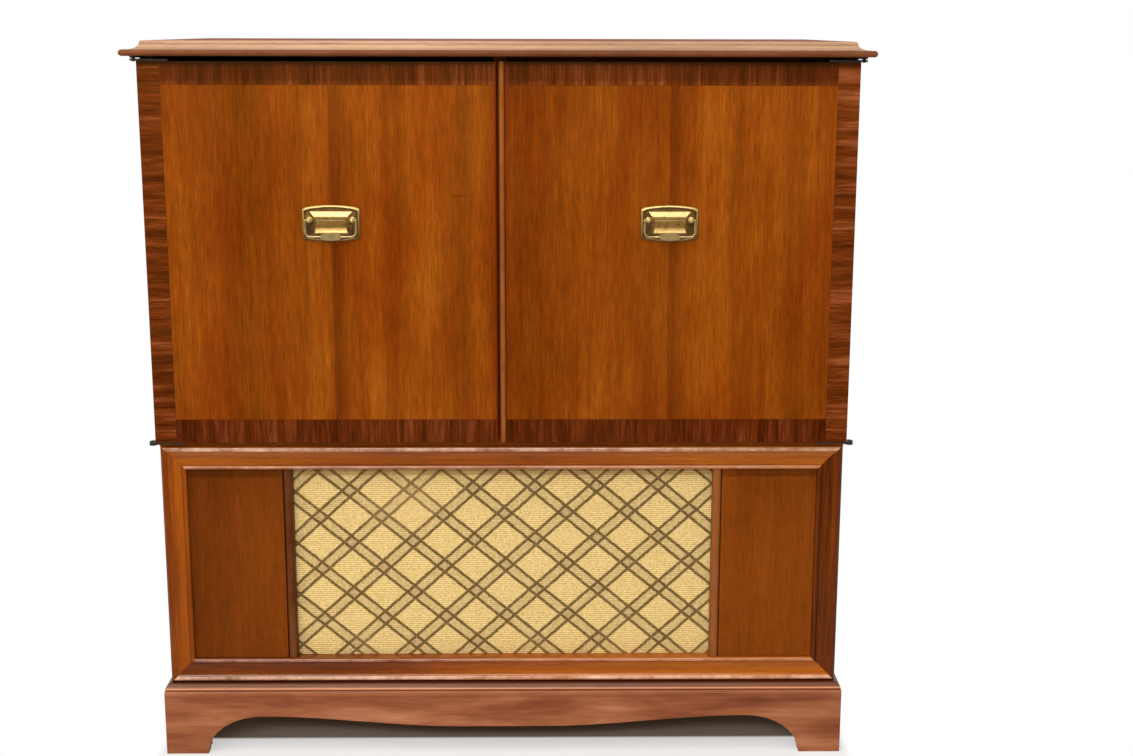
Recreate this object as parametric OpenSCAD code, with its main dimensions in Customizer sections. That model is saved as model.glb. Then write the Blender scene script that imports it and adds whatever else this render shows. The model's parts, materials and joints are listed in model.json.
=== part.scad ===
// Console radio-phonograph: two doors over a cloth grille, on a bracket base.
// Millimetres, +Z up, front faces -Y, origin at the middle of the footprint on the floor.

/* [Cabinet] */
// Width across the sides and the closed doors
cabinet_w = 960; // [900:1:1040]
// Depth of the case behind the doors
case_d = 430; // [410:1:480]
// Thickness of side, shelf, bottom and partition boards
board_t = 18; // [15:0.5:21]
// Height of the lower frame, from the base to its top edge
frame_h = 353; // [340:1:400]
// Thickness of the back panels
back_t = 4; // [3:0.5:6]
// Distance from the rear edges of the sides to the back panels
back_recess = 3; // [2.5:0.5:6]

/* [Top] */
// Whole thickness of the top
top_t = 20; // [18:0.5:26]
// Overhang of the lip in front of the doors
lip_front = 20; // [17:0.5:26]
// Overhang of the lip beyond each side
lip_side = 18; // [14:0.5:24]
// Thickness of the bullnose lip
lip_t = 8.6; // [7:0.2:10]
// Distance from the lip's edge to the flat of the top
top_slope = 25.7; // [22:0.1:32]

/* [Doors] */
// Height of the doors
door_h = 520; // [500:1:600]
// Thickness of the doors
door_t = 19.4; // [17:0.2:22]
// Space behind the closed doors
door_gap = 0.6; // [0.4:0.1:1.2]
// Space between the lower frame and the doors
door_foot_gap = 9.5; // [9:0.5:13]
// Space between the doors and the top
door_head_gap = 6.4; // [6.2:0.1:9]
// Space between the two doors
door_meet_gap = 2.8; // [2:0.1:4]
// Distance of the meeting gap from the middle, to the left
meet_offset = 3.6; // [0:0.1:8]
// Width of the edge bead on the right door
edge_bead_w = 9; // [6:0.5:12]
// Distance that the edge bead stands out from the door
edge_bead_out = 1.5; // [0.5:0.1:2.5]
// Width of the crossbanding at the outer edge of a door
crossband_w = 30; // [20:1:45]

/* [Door hinges] */
// Distance of the pivot outside the door's edge
pivot_out = 5.5; // [5:0.1:7]
// Radius of a hinge knuckle
knuckle_r = 5; // [4:0.1:6]
// Radius of the hinge pin
hinge_pin_r = 2.5; // [2:0.1:3]
// Thickness of a hinge leaf
leaf_t = 2.6; // [2:0.1:3]
// Length of a hinge leaf along the door
leaf_l = 42; // [30:1:60]

/* [Door pulls] */
// Width of the back plate
plate_w = 78; // [72:1:90]
// Height of the back plate at its ends
plate_h = 42.2; // [38:0.1:50]
// Rise of the arched top and bottom of the plate
plate_arch = 4; // [3:0.1:6]
// Cut at the corners of the back plate
plate_clip = 1.6; // [1:0.1:4]
// Thickness of the back plate
plate_t = 1.8; // [1.4:0.1:2.4]
// Width of the raised rim around the plate
plate_rim_w = 2.8; // [2:0.1:4]
// Height of the raised rim
plate_rim_t = 1; // [0.6:0.1:1.4]
// Height of the raised field on the plate
field_t = 2; // [1.2:0.1:2.4]
// Width of the raised field
field_w = 60; // [50:1:64]
// Height of the raised field
field_h = 30; // [26:0.5:34]
// Distance between the two posts
post_gap = 58; // [54:0.2:62]
// Height of the posts above the middle of the plate
post_up = 5; // [2:0.5:9]
// Radius of the ball on a post
post_ball_r = 3.3; // [3:0.1:3.8]
// Distance of the bail's pivot in front of the plate
post_out = 7.2; // [6.8:0.1:8]
// Drop of the bail below its pivot
bail_drop = 27; // [20:0.2:30]
// Radius of the bail's wire
bail_r = 1.6; // [1.4:0.1:2]
// Width of the bail's grip
grip_w = 27; // [20:0.5:34]
// Height of the bail's grip
grip_h = 9.5; // [7:0.5:11]
// Distance of the plate's middle below the top of the door
pull_drop = 215; // [150:0.5:300]

/* [Grille] */
// Width of the frame moulding
frame_w = 35.5; // [30:0.5:40]
// Depth of the frame moulding
frame_d = 21; // [19:0.5:26]
// Distance from the frame's front to the side panels
panel_in = 6; // [5:0.5:9]
// Width of the cloth between the two beads
cloth_w = 594; // [500:1:640]
// Width of the half-round beads beside the cloth
bead_w = 13.4; // [8:0.1:16]
// Thickness of the grille cloth
cloth_t = 1.2; // [0.8:0.1:1.6]
// Thickness of the baffle board
baffle_t = 12; // [9:0.5:15]

/* [Base] */
// Height of the bracket base
base_h = 106; // [96:1:130]
// Distance that the base stands out from the case
base_out = 9; // [8:0.5:12]
// Thickness of the base boards
base_t = 18; // [15:0.5:22]
// Width of the feet at the floor
foot_w = 60; // [50:1:80]
// Width of the quarter arch beside each foot
arch_w = 79; // [60:1:90]
// Height of the arches
arch_h = 57; // [45:1:62]
// Drop of the apron's middle below the arches
apron_drop = 16; // [8:1:20]
// Width of the level middle of the apron
apron_flat = 120; // [60:5:200]
// Height of the moulding along the top of the base
base_mould_h = 11.5; // [9:0.5:14]

/* [Speaker] */
// Outer radius of the speaker frame
speaker_r = 154; // [140:1:158]
// Radius of the hole in the baffle
speaker_hole_r = 137; // [120:1:138]
// Depth of the speaker frame
speaker_d = 62; // [55:1:75]
// Thickness of the frame's sheet metal
speaker_t = 1.6; // [1.2:0.1:2]
// Radius of the magnet pot
magnet_r = 50; // [45:1:60]
// Length of the magnet pot
magnet_l = 58; // [50:1:80]
// Radius of the voice coil
coil_r = 25; // [20:0.5:30]
// Travel of the cone to each side
cone_travel = 2; // [1:0.5:2]

/* [Record changer] */
// Height of the changer deck above the shelf
deck_up = 138; // [125:1:150]
// Thickness of the deck board and of its apron
deck_t = 12; // [10:0.5:15]
// Distance of the apron behind the front of the case
apron_in = 15; // [15:1:25]
// Width of the pressed base plate
unit_w = 372; // [350:1:390]
// Depth of the pressed base plate
unit_d = 332; // [320:1:345]
// Height of the base plate
unit_h = 10; // [8:0.5:14]
// Thickness of the base plate's sheet metal
unit_t = 2; // [1.5:0.1:3]
// Radius of the platter
platter_r = 127; // [120:1:132]
// Height of the platter's rim
platter_h = 18; // [17:0.5:24]
// Thickness of the platter's rim
rim_t = 3; // [2.5:0.1:4]
// Thickness of the mat
mat_t = 1.6; // [1:0.1:2.5]
// Radius of the record spindle
spindle_r = 3.6; // [3:0.05:3.8]
// Radius of the spindle inside the platter
spindle_hub_r = 5; // [4.5:0.1:6]
// Height of the spindle above the mat
spindle_up = 98; // [60:1:110]
// Radius of the rubber idler wheel
idler_r = 22; // [18:0.5:26]
// Radius of the motor pulley
pulley_r = 6; // [5:0.1:7]
// Radius of the motor
motor_r = 36; // [30:1:42]
// Length of the tonearm from its pivot to the needle
arm_l = 240; // [225:1:245]
// Radius of the tonearm's pivot shaft
arm_shaft_r = 4; // [3:0.1:5]
// Radius of the tonearm's lift pin
arm_pin_r = 2; // [1.5:0.1:2.5]
// Radius of the balance arm's shaft
balance_r = 4; // [3:0.1:5]

/* [Radio] */
// Height of the radio compartment, with its shelf
radio_h = 218; // [205:1:235]
// Distance of the radio panel behind the front of the case
panel_back = 27; // [24:1:40]
// Thickness of the radio panel and its shelf
radio_t = 12; // [10:0.5:15]
// Width of the dial window
dial_w = 240; // [200:1:260]
// Height of the dial window
dial_h = 62; // [50:1:70]
// Width of the brass bezel around the window
bezel_w = 11; // [8:0.5:14]
// Height of the dial's middle above the radio shelf
dial_up = 117; // [110:1:124]
// Height of the knobs above the radio shelf
knob_up = 34; // [30:1:38]
// Distance between the knobs
knob_gap = 100; // [80:1:110]
// Radius of a knob
knob_r = 17; // [13:0.5:20]
// Depth of a knob
knob_d = 16; // [13:0.5:18]
// Radius of a control shaft
control_r = 3; // [2.5:0.1:3.5]
// Width of the chassis
chassis_w = 350; // [330:1:380]
// Depth of the chassis
chassis_d = 190; // [180:1:230]
// Height of the chassis
chassis_h = 60; // [56:1:66]
// Travel of the dial pointer to each side of the middle
pointer_travel = 100; // [80:1:100]
// Radius of the capacitor's rotor plates
rotor_r = 24; // [20:0.5:26]

/* [Fits] */
// Radial clearance of a shaft in its bore
shaft_fit = 0.06; // [0.03:0.01:0.09]
// Clearance between moving pieces that pass each other
run_gap = 0.3; // [0.2:0.05:0.5]

/* [Hidden] */

round_fn = 64;
tiny = 0.01;
joint_line = 0.2;   // Fine gap left at a glued mitre

// Across
x_side = cabinet_w / 2;
x_in = x_side - board_t;
x_lip = x_side + lip_side;
x_base = x_side + base_out;
half_board = board_t / 2;
bay_w = x_in - half_board;
bay_x = half_board + bay_w / 2;

// Front to back
total_d = lip_front + door_t + door_gap + case_d;
y_lip = -total_d / 2;
y_back = total_d / 2;
y_door = y_lip + lip_front;
y_door_mid = y_door + door_t / 2;
y_case = y_door + door_t + door_gap;
y_inner = y_back - back_recess - back_t;
y_frame = y_case + frame_d;
y_base = y_case - base_out;

// Upward
z_frame = base_h + frame_h;
z_door = z_frame + door_foot_gap;
z_door_top = z_door + door_h;
z_top = z_door_top + door_head_gap;
z_all = z_top + top_t;
z_shelf = z_door - door_gap;
z_bottom = base_h + board_t;

// Doors
left_edge = -meet_offset - door_meet_gap / 2;
bead_edge = -meet_offset + door_meet_gap / 2;
right_edge = bead_edge + edge_bead_w;
x_pivot = x_side + pivot_out;
pull_x = (x_side - crossband_w + right_edge) / 2;
pull_z = z_door_top - pull_drop;
leaf_gap = run_gap;
leaf_half_w = 7;
leaf_hole_r = 1.6;

// Grille
frame_in_x = x_side - frame_w;
z_open0 = base_h + frame_w;
z_open1 = z_frame - frame_w;
z_grille = (z_open0 + z_open1) / 2;
y_panel = y_case + panel_in;
y_cloth = y_frame - cloth_t;
panel_x = cloth_w / 2 + bead_w;
seat_gap = 0.2;
y_speaker = y_frame + baffle_t;

// Record changer
z_deck = z_shelf + deck_up;
y_apron = y_case + apron_in;
unit_x = -bay_x;
unit_y = (y_apron + y_inner) / 2 - 8;
z_unit = z_deck + unit_h;
platter_x = unit_x - unit_w / 2 + platter_r + 13.5;
platter_y = unit_y - 8;
platter_lift = 5;
z_platter = z_unit + platter_lift;
z_platter_top = z_platter + platter_h;
z_mat = z_platter_top + mat_t;
disc_t = 2;
bush_r = 8;
z_hub = z_unit + 1;
spindle_tip = 3;
rim_in = platter_r - rim_t;
drive_gap = 0.2;
idler_out = rim_in - drive_gap - idler_r;
pulley_out = idler_out - idler_r - drive_gap - pulley_r;
drive_turn = 200;
wheel_h = 7;
z_wheel = z_unit + 6;
idler_pin_r = 2.5;
motor_shaft_r = 3;
motor_h = 52;
arm_x = unit_x + unit_w / 2 - 38;
arm_y = unit_y + unit_d / 2 - 42;
z_arm = z_mat + 22;
arm_tail = 30;
head_l = 40;
record_t = 2.2;
z_needle = z_mat + record_t;
balance_x = unit_x - unit_w / 2 + 18;
balance_y = unit_y + unit_d / 2 - 18;
z_balance = z_mat + spindle_up + 8;
balance_l = norm([platter_x - balance_x, platter_y - balance_y]);
changer_knob_x = unit_x - unit_w / 2 + 26;
changer_knob_y = unit_y - unit_d / 2 + 24;

// Radio
z_radio = z_top - radio_h;
z_radio_floor = z_radio + radio_t;
y_radio = y_case + panel_back;
y_radio_back = y_radio + radio_t;
z_dial = z_radio_floor + dial_up;
z_knob = z_radio_floor + knob_up;
glass_t = 2.5;
glass_lap = 8;
y_glass = y_radio_back;
pointer_t = 0.8;
y_pointer = y_glass + glass_t + 1.9;
y_scale = y_pointer + pointer_t + 1.8;
scale_t = 1.2;
y_chassis = y_scale + scale_t;
chassis_t = 1.5;
z_chassis = z_radio_floor + chassis_h;
scale_low = z_chassis - 15;
scale_top = z_dial + dial_h / 2 + 9;
knob_clear = 1;
shaft_back = y_chassis + chassis_t + 6;
cap_x = bay_x + 42;
cap_y = y_chassis + 34;
cap_l = 44;
cap_plates = 4;
cap_pitch = 7;
cap_t = 1.2;
z_cap = z_chassis + rotor_r + 7;

// Album storage
divider_t = 9;
divider_gap = (bay_w - 2 * divider_t) / 3;
divider_in = 32;

function arc(cx, cy, r, a0, a1, n = 8) =
    [for (i = [0:n]) let (a = a0 + (a1 - a0) * i / n) [cx + r * cos(a), cy + r * sin(a)]];

// A block from one corner to the opposite one
module block(lo, hi) {
    translate(lo)
        cube(hi - lo);
}

// A profile of (y, z) points drawn out along X
module along_x(x0, x1) {
    translate([x0, 0, 0])
        rotate([90, 0, 90])
            linear_extrude(x1 - x0)
                children();
}

// A profile of (x, z) points drawn out along Y
module along_y(y0, y1) {
    translate([0, y1, 0])
        rotate([90, 0, 0])
            linear_extrude(y1 - y0)
                children();
}

// A profile of (x, y) points drawn out along Z
module along_z(z0, z1) {
    translate([0, 0, z0])
        linear_extrude(z1 - z0)
            children();
}

// A round rod or hole along Y
module rod_y(x, y0, y1, z, r) {
    translate([x, y1, z])
        rotate([90, 0, 0])
            cylinder(h = y1 - y0, r = r, $fn = round_fn);
}

// A round rod or hole along Z
module rod_z(x, y, z0, z1, r) {
    translate([x, y, z0])
        cylinder(h = z1 - z0, r = r, $fn = round_fn);
}

// A round rod or hole along X
module rod_x(x0, x1, y, z, r) {
    translate([x0, y, z])
        rotate([0, 90, 0])
            cylinder(h = x1 - x0, r = r, $fn = round_fn);
}

// A turned shape whose axis points along +Y
module turned_y(x, y, z) {
    translate([x, y, z])
        rotate([-90, 0, 0])
            rotate_extrude($fn = round_fn)
                children();
}

// A turned shape whose axis points along +Z
module turned_z(x, y, z) {
    translate([x, y, z])
        rotate_extrude($fn = round_fn)
            children();
}

module mirrored_x() {
    children();
    mirror([1, 0, 0])
        children();
}

module rounded_plan(w, d, r) {
    hull()
        for (sx = [-1, 1])
            for (sy = [-1, 1])
                translate([sx * (w / 2 - r), sy * (d / 2 - r)])
                    circle(r = r, $fn = 32);
}

// Top

// Half of the top's edge, from the flat of the top out to the lip: u is measured inward
top_round = 3;
cove_out = 7.5;
function top_edge() = let (
    nose = lip_t / 2,
    z_lip = z_top + lip_t,
    cove_h = z_all - top_round - z_lip
) concat(
    arc(top_slope, z_all - top_round, top_round, 90, 180, 4),
    [for (i = [1:8]) let (a = 90 * i / 8)
        [cove_out + (top_slope - top_round - cove_out) * cos(a), z_lip + cove_h * (1 - sin(a))]],
    arc(nose, z_top + nose, nose, 90, 270, 8)
);

module top_panel() {
    color("sienna")
        intersection() {
            along_x(-x_lip, x_lip)
                polygon(concat(
                    [for (p = top_edge()) [y_lip + p[0], p[1]]],
                    [[y_back, z_top], [y_back, z_all]]
                ));
            along_y(y_lip, y_back)
                polygon(concat(
                    [for (p = top_edge()) [-x_lip + p[0], p[1]]],
                    [for (i = [len(top_edge()) - 1:-1:0]) [x_lip - top_edge()[i][0], top_edge()[i][1]]]
                ));
        }
}

// Case

// Side boards are notched at the front for the lower frame and slotted for the hinge leaves
module side_board(s) {
    fit = 0.05;
    slot_x = x_side - leaf_half_w - fit;
    color("saddlebrown")
        difference() {
            block([min(s * x_in, s * x_side), y_case, base_h],
                  [max(s * x_in, s * x_side), y_back, z_top]);
            block([-x_side - 1, y_case - 1, base_h - 1], [x_side + 1, y_frame, z_frame]);
            for (z = [z_low_case, z_high_case])
                block([min(s * slot_x, s * (x_side + 1)), y_case - 1, z - fit],
                      [max(s * slot_x, s * (x_side + 1)), leaf_tail_y + fit, z + leaf_t + fit]);
        }
}

module left_side() {
    side_board(-1);
}

module right_side() {
    side_board(1);
}

module divider_shelf() {
    color("sienna")
        difference() {
            block([-x_in, y_case, z_shelf - board_t], [x_in, y_inner, z_shelf]);
            block([-x_side, y_case - 1, z_shelf - board_t - 1], [x_side, y_frame, z_frame + joint_line]);
        }
}

module bottom_board() {
    color("burlywood")
        block([-x_in, y_frame, base_h], [x_in, y_inner, z_bottom]);
}

module centre_partition() {
    color("saddlebrown")
        block([-half_board, y_case, z_shelf], [half_board, y_inner, z_top]);
}

// Back

vent_w = 7;
vent_h = 62;
vent_pitch = 26;
vent_count = 15;
vent_round_r = 5;
grommet_x = -300;
grommet_z = base_h + 84;
grommet_r = 9;
z_back_split = z_shelf - board_t / 2;

module back_panels() {
    y0 = y_inner;
    y1 = y_inner + back_t;
    color("peru")
        difference() {
            union() {
                block([-x_in, y0, base_h], [x_in, y1, z_back_split - joint_line]);
                block([-x_in, y0, z_back_split], [x_in, y1, z_top]);
            }
            for (i = [0:vent_count - 1])
                for (z = [z_grille - vent_h - 8, z_grille + 8])
                    translate([(i - (vent_count - 1) / 2) * vent_pitch, 0, 0])
                        block([-vent_w / 2, y0 - 1, z], [vent_w / 2, y1 + 1, z + vent_h]);
            for (s = [-1, 1])
                for (i = [-5:5])
                    for (j = [0:3])
                        rod_y(s * bay_x + i * vent_pitch, y0 - 1, y1 + 1,
                              z_top - 62 - j * vent_pitch, vent_round_r);
            rod_y(grommet_x, y0 - 1, y1 + 1, grommet_z, grommet_r);
        }
}

screw_head_r = 4;
screw_head_h = 2.2;
module back_screws() {
    rows = [base_h + board_t / 2, z_back_split - 4.5, z_back_split + 4.5, z_radio + radio_t / 2];
    color("dimgray") {
        for (z = [rows[0], rows[1], rows[2]])
            for (x = [-0.92, -0.46, 0, 0.46, 0.92])
                back_screw(x * x_in, z);
        for (f = [0.28, 0.56, 0.84])
            back_screw(0, z_shelf + (z_top - z_shelf) * f);
        back_screw(bay_x - bay_w * 0.4, rows[3]);
        back_screw(bay_x + bay_w * 0.4, rows[3]);
    }
}

module back_screw(x, z) {
    turned_y(x, y_inner + back_t, z)
        polygon(concat([[0, 0], [screw_head_r, 0]],
            [for (i = [1:5]) let (a = 90 * i / 6) [screw_head_r * cos(a), screw_head_h * sin(a)]],
            [[0, screw_head_h]]));
}

module cord_grommet() {
    lip = 2.2;
    bore = 4;
    y1 = y_inner + back_t;
    color("black")
        turned_y(grommet_x, y_inner, grommet_z)
            polygon([[bore, -1.4], [grommet_r + lip, -1.4], [grommet_r + lip, 0], [grommet_r, 0],
                     [grommet_r, back_t], [grommet_r + lip, back_t], [grommet_r + lip, back_t + 1.4],
                     [bore, back_t + 1.4]]);
}

// Base

// The moulding along the top of a base board: u is measured in from its face
mould_quirk = 0.9;
function base_section(t) = concat(
    [[0, 0], [0, base_h - base_mould_h], [mould_quirk, base_h - base_mould_h + 0.5]],
    [for (i = [1:6]) let (a = 90 * i / 7)
        [mould_quirk + (base_out - mould_quirk) * (1 - cos(a)),
         base_h - base_mould_h + 0.5 + (base_mould_h - 0.5) * sin(a)]],
    [[base_out, base_h], [t, base_h], [t, 0]]
);

// The underside of the front apron from its left foot to its right foot
function apron_line() = let (
    x_foot = x_base - foot_w,
    x_arch = x_foot - arch_w,
    x_flat = apron_flat / 2,
    half = concat(
        [for (i = [0:10]) let (a = 90 * i / 10) [x_arch + arch_w * cos(a), arch_h * sin(a)]],
        [for (i = [1:12]) let (f = i / 12)
            [x_arch + (x_flat - x_arch) * f, arch_h - apron_drop * (0.5 - 0.5 * cos(180 * f))]]
    )
) concat(
    [for (p = half) [-p[0], p[1]]],
    [for (i = [len(half) - 1:-1:0]) half[i]]
);

// A 45-degree mitre at the front corners: the front board keeps its inside, the sides theirs
module mitre_plan(front) {
    y0 = y_base - 1;
    if (front)
        polygon([[-x_base - 1 + joint_line, y0], [x_base + 1 - joint_line, y0],
                 [x_base - base_t - joint_line, y_base + base_t], [-x_base + base_t + joint_line, y_base + base_t]]);
    else
        mirrored_x()
            polygon([[x_base + 1, y0], [x_base + 1, y_back], [x_base - base_t, y_back],
                     [x_base - base_t, y_base + base_t]]);
}

module base_front() {
    color("brown")
        difference() {
            intersection() {
                along_x(-x_base, x_base)
                    polygon([for (p = base_section(base_t)) [y_base + p[0], p[1]]]);
                along_z(-1, base_h + 1)
                    mitre_plan(true);
            }
            along_y(y_base - 1, y_base + base_t + 1)
                polygon(concat([[-x_base + foot_w, -1]], apron_line(), [[x_base - foot_w, -1]]));
        }
}

side_foot = 62;
module base_sides() {
    y_foot = y_base + side_foot;
    color("brown")
        difference() {
            intersection() {
                mirrored_x()
                    along_y(y_base, y_back)
                        polygon([for (p = base_section(base_t)) [x_base - p[0], p[1]]]);
                along_z(-1, base_h + 1)
                    mitre_plan(false);
            }
            along_x(-x_base - 1, x_base + 1)
                polygon(concat(
                    [[y_foot, -1]],
                    [for (i = [0:8]) let (a = 90 * i / 8)
                        [y_foot + arch_w * (1 - cos(a)), arch_h * sin(a)]],
                    [for (i = [8:-1:0]) let (a = 90 * i / 8)
                        [y_back - side_foot - arch_w * (1 - cos(a)), arch_h * sin(a)]],
                    [[y_back - side_foot, -1]]
                ));
        }
}

rear_rail_h = 58;
block_w = 45;
module base_rear_frame() {
    xi = x_base - base_t;
    yi = y_base + base_t;
    color("burlywood") {
        block([-xi, y_back - base_t, base_h - rear_rail_h], [xi, y_back, base_h]);
        for (s = [-1, 1])
            for (f = [true, false])
                corner_block(s * xi, f ? yi : y_back - base_t, -s, f ? 1 : -1);
    }
}

module corner_block(x, y, sx, sy) {
    z_low = 6;
    z_high = sy > 0 ? base_h : base_h - rear_rail_h - joint_line;
    along_z(z_low, z_high)
        polygon([[x, y], [x + sx * block_w, y], [x, y + sy * block_w]]);
}

// Lower frame

// Across the moulding from its outer edge inward: u, and the depth of its face behind the front
edge_round = 4.5;
inner_round = 4;
function frame_section() = let (
    w = frame_w,
    cove_d = 3,
    u0 = 2 * edge_round,
    u1 = w - 2 * inner_round
) concat(
    [[0, frame_d]],
    arc(edge_round, edge_round, edge_round, 180, 270, 6),
    [for (i = [1:8]) let (f = i / 8)
        [u0 + (u1 - u0) * f - edge_round * (1 - f), 0.6 * f + cove_d * sin(180 * f)]],
    arc(w - inner_round, 0.6 + inner_round, inner_round, 270, 360, 6),
    [[w, frame_d]]
);

module frame_length(half, z_edge, up) {
    intersection() {
        along_x(-half, half)
            polygon([for (p = frame_section()) [y_case + p[1], z_edge + up * p[0]]]);
        along_y(y_case - 1, y_frame + 1)
            polygon([[-half + joint_line, z_edge], [half - joint_line, z_edge],
                     [half - frame_w - joint_line, z_edge + up * frame_w],
                     [-half + frame_w + joint_line, z_edge + up * frame_w]]);
    }
}

module frame_stile() {
    intersection() {
        along_z(base_h, z_frame)
            polygon([for (p = frame_section()) [-x_side + p[0], y_case + p[1]]]);
        along_y(y_case - 1, y_frame + 1)
            polygon([[-x_side, base_h + joint_line], [-x_side, z_frame - joint_line],
                     [-x_side + frame_w, z_frame - frame_w - joint_line],
                     [-x_side + frame_w, base_h + frame_w + joint_line]]);
    }
}

module lower_frame() {
    color("chocolate") {
        frame_length(x_side, base_h, 1);
        frame_length(x_side, z_frame, -1);
        mirrored_x()
            frame_stile();
    }
}

module grille_side_panels() {
    color("saddlebrown")
        mirrored_x()
            block([panel_x, y_panel, z_open0 + seat_gap],
                  [frame_in_x - seat_gap, y_frame, z_open1 - seat_gap]);
}

module grille_beads() {
    r = bead_w / 2;
    color("saddlebrown")
        mirrored_x()
            along_z(z_open0 + seat_gap, z_open1 - seat_gap)
                polygon(concat([[panel_x - seat_gap, y_cloth]],
                    arc(panel_x - r, y_panel + r - 1, r - seat_gap, 0, -180, 10),
                    [[panel_x - bead_w + seat_gap, y_cloth]]));
}

module grille_cloth() {
    color("khaki")
        block([-panel_x + seat_gap, y_cloth, z_open0 + seat_gap],
              [panel_x - seat_gap, y_frame, z_open1 - seat_gap]);
}

module baffle_board() {
    color("tan")
        difference() {
            block([-x_in, y_frame, z_bottom], [x_in, y_speaker, z_shelf - board_t]);
            rod_y(0, y_frame - 1, y_speaker + 1, z_grille, speaker_hole_r);
        }
}

// Speaker

neck_r = magnet_r + 6;
basket_rim = 14;
module speaker_frame() {
    t = speaker_t;
    color("dimgray")
        difference() {
            turned_y(0, y_speaker, z_grille)
                polygon([[speaker_hole_r, 0], [speaker_r, 0], [speaker_r, t],
                         [speaker_hole_r + t, t], [speaker_hole_r + t, basket_rim], [neck_r + t, speaker_d - t],
                         [neck_r, speaker_d], [coil_r + 4, speaker_d], [coil_r + 4, speaker_d - t],
                         [neck_r - t, speaker_d - t], [speaker_hole_r, basket_rim]]);
            for (i = [0:3])
                translate([0, y_speaker, z_grille])
                    rotate([0, 45 + 90 * i, 0])
                        along_y(basket_rim + 3, speaker_d - t - 6)
                            polygon([[neck_r + 2, -20], [speaker_hole_r + 8, -62],
                                     [speaker_hole_r + 8, 62], [neck_r + 2, 20]]);
            for (i = [0:7])
                translate([0, 0, z_grille])
                    rotate([0, 22.5 + 45 * i, 0])
                        rod_y((speaker_hole_r + speaker_r) / 2 + 1, y_speaker - 1, y_speaker + t + 1, 0, 2.6);
        }
}

module speaker_magnet() {
    gap_in = coil_r - 1.2;
    gap_out = coil_r + 1.6;
    color("gray")
        turned_y(0, y_speaker + speaker_d, z_grille)
            polygon([[0, 0], [gap_in, 0], [gap_in, 16], [gap_out, 16], [gap_out, 0],
                     [magnet_r, 0], [magnet_r, magnet_l - 4], [magnet_r - 4, magnet_l], [0, magnet_l]]);
}

module speaker_cone() {
    t = 0.8;
    edge = speaker_hole_r - 0.5;
    y0 = cone_travel + 1.2;
    y_neck = speaker_d - 8;
    color("darkslategray")
        turned_y(0, y_speaker, z_grille)
            polygon(concat(
                [[0, y_neck - 14]],
                [for (i = [1:6]) let (a = 90 * i / 6) [coil_r * sin(a), y_neck - 14 * cos(a)]],
                [[edge - 14, y0 + 2], [edge - 10.5, y0], [edge - 7, y0 + 2], [edge - 3.5, y0], [edge, y0 + 1.5],
                 [edge, y0 + 1.5 + t], [edge - 3.5, y0 + t], [edge - 7, y0 + 2 + t], [edge - 10.5, y0 + t],
                 [edge - 14, y0 + 2 + t], [coil_r + t, y_neck + t], [coil_r + t, speaker_d + 9],
                 [coil_r, speaker_d + 9], [coil_r, y_neck + t]],
                [for (i = [5:-1:1]) let (a = 90 * i / 6)
                    [(coil_r - t) * sin(a), y_neck + t - 14 * cos(a)]],
                [[0, y_neck + t - 14]]
            ));
}

// Doors

leaf_tail_y = y_case + 30;
z_low_case = z_door - 2 * leaf_t - leaf_gap;
z_low_door = z_door - leaf_t;
z_high_door = z_door_top;
z_high_case = z_top - leaf_t;
pull_bolt_r = 2;

// Leaves stand on the right side of the case and are mirrored for the left
module case_leaf(z, pin_z0, pin_z1) {
    union() {
        along_z(z, z + leaf_t)
            union() {
                translate([x_pivot, y_door_mid])
                    circle(r = knuckle_r, $fn = round_fn);
                polygon([[x_side - leaf_half_w, y_case - leaf_gap], [x_side - leaf_half_w, leaf_tail_y],
                         [x_side, leaf_tail_y], [x_side, y_case - leaf_gap],
                         [x_pivot + knuckle_r * cos(20), y_door_mid + knuckle_r * sin(20)],
                         [x_pivot - knuckle_r * cos(45), y_door_mid - knuckle_r * sin(45)]]);
            }
        rod_z(x_pivot, y_door_mid, pin_z0, pin_z1, hinge_pin_r);
    }
}

module case_door_fittings() {
    color("dimgray") {
        mirrored_x() {
            case_leaf(z_low_case, z_low_case + 1, z_door + 1);
            case_leaf(z_high_case, z_high_door - 1, z_high_case + 1);
        }
        for (x = [left_edge - catch_x, right_edge + catch_x])
            catch_clip(x);
    }
}

// A leaf on the end of a door, with its knuckle beyond the door's edge
module door_leaf(z) {
    color("dimgray")
        along_z(z, z + leaf_t)
            difference() {
                union() {
                    translate([x_pivot, y_door_mid])
                        circle(r = knuckle_r, $fn = round_fn);
                    polygon([[x_side - leaf_l, y_door_mid - leaf_half_w], [x_side, y_door_mid - leaf_half_w],
                             [x_pivot, y_door_mid - knuckle_r], [x_pivot, y_door_mid + knuckle_r],
                             [x_side, y_door_mid + leaf_half_w], [x_side - leaf_l, y_door_mid + leaf_half_w]]);
                }
                translate([x_pivot, y_door_mid])
                    circle(r = hinge_pin_r + shaft_fit, $fn = round_fn);
                for (x = [x_side - leaf_l + 9, x_side - 9])
                    translate([x, y_door_mid])
                        circle(r = leaf_hole_r, $fn = round_fn);
            }
}

// Each catch is a sprung clip on the shelf's edge that holds a ball stud on the door
catch_r = 3;
catch_t = 1;
catch_z = z_shelf + 16;
catch_in = 9;
catch_x = 26;
catch_w = 8;
catch_l = apron_in - catch_in - 0.5;
module catch_clip(x) {
    r_in = catch_r + run_gap;
    y_ball = y_case + catch_in;
    translate([x, 0, 0])
        along_x(-catch_w / 2, catch_w / 2)
            difference() {
                union() {
                    translate([y_ball, catch_z])
                        circle(r = r_in + catch_t, $fn = round_fn);
                    translate([y_ball + r_in - 0.5, z_shelf])
                        square([catch_t + 1, catch_z - z_shelf]);
                    translate([y_ball, z_shelf])
                        square([catch_l, catch_t]);
                }
                translate([y_ball, catch_z])
                    circle(r = r_in, $fn = round_fn);
                translate([y_ball - 2 * r_in - 2, catch_z - r_in])
                    square([2 * r_in + 2, 2 * r_in]);
            }
}

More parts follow.
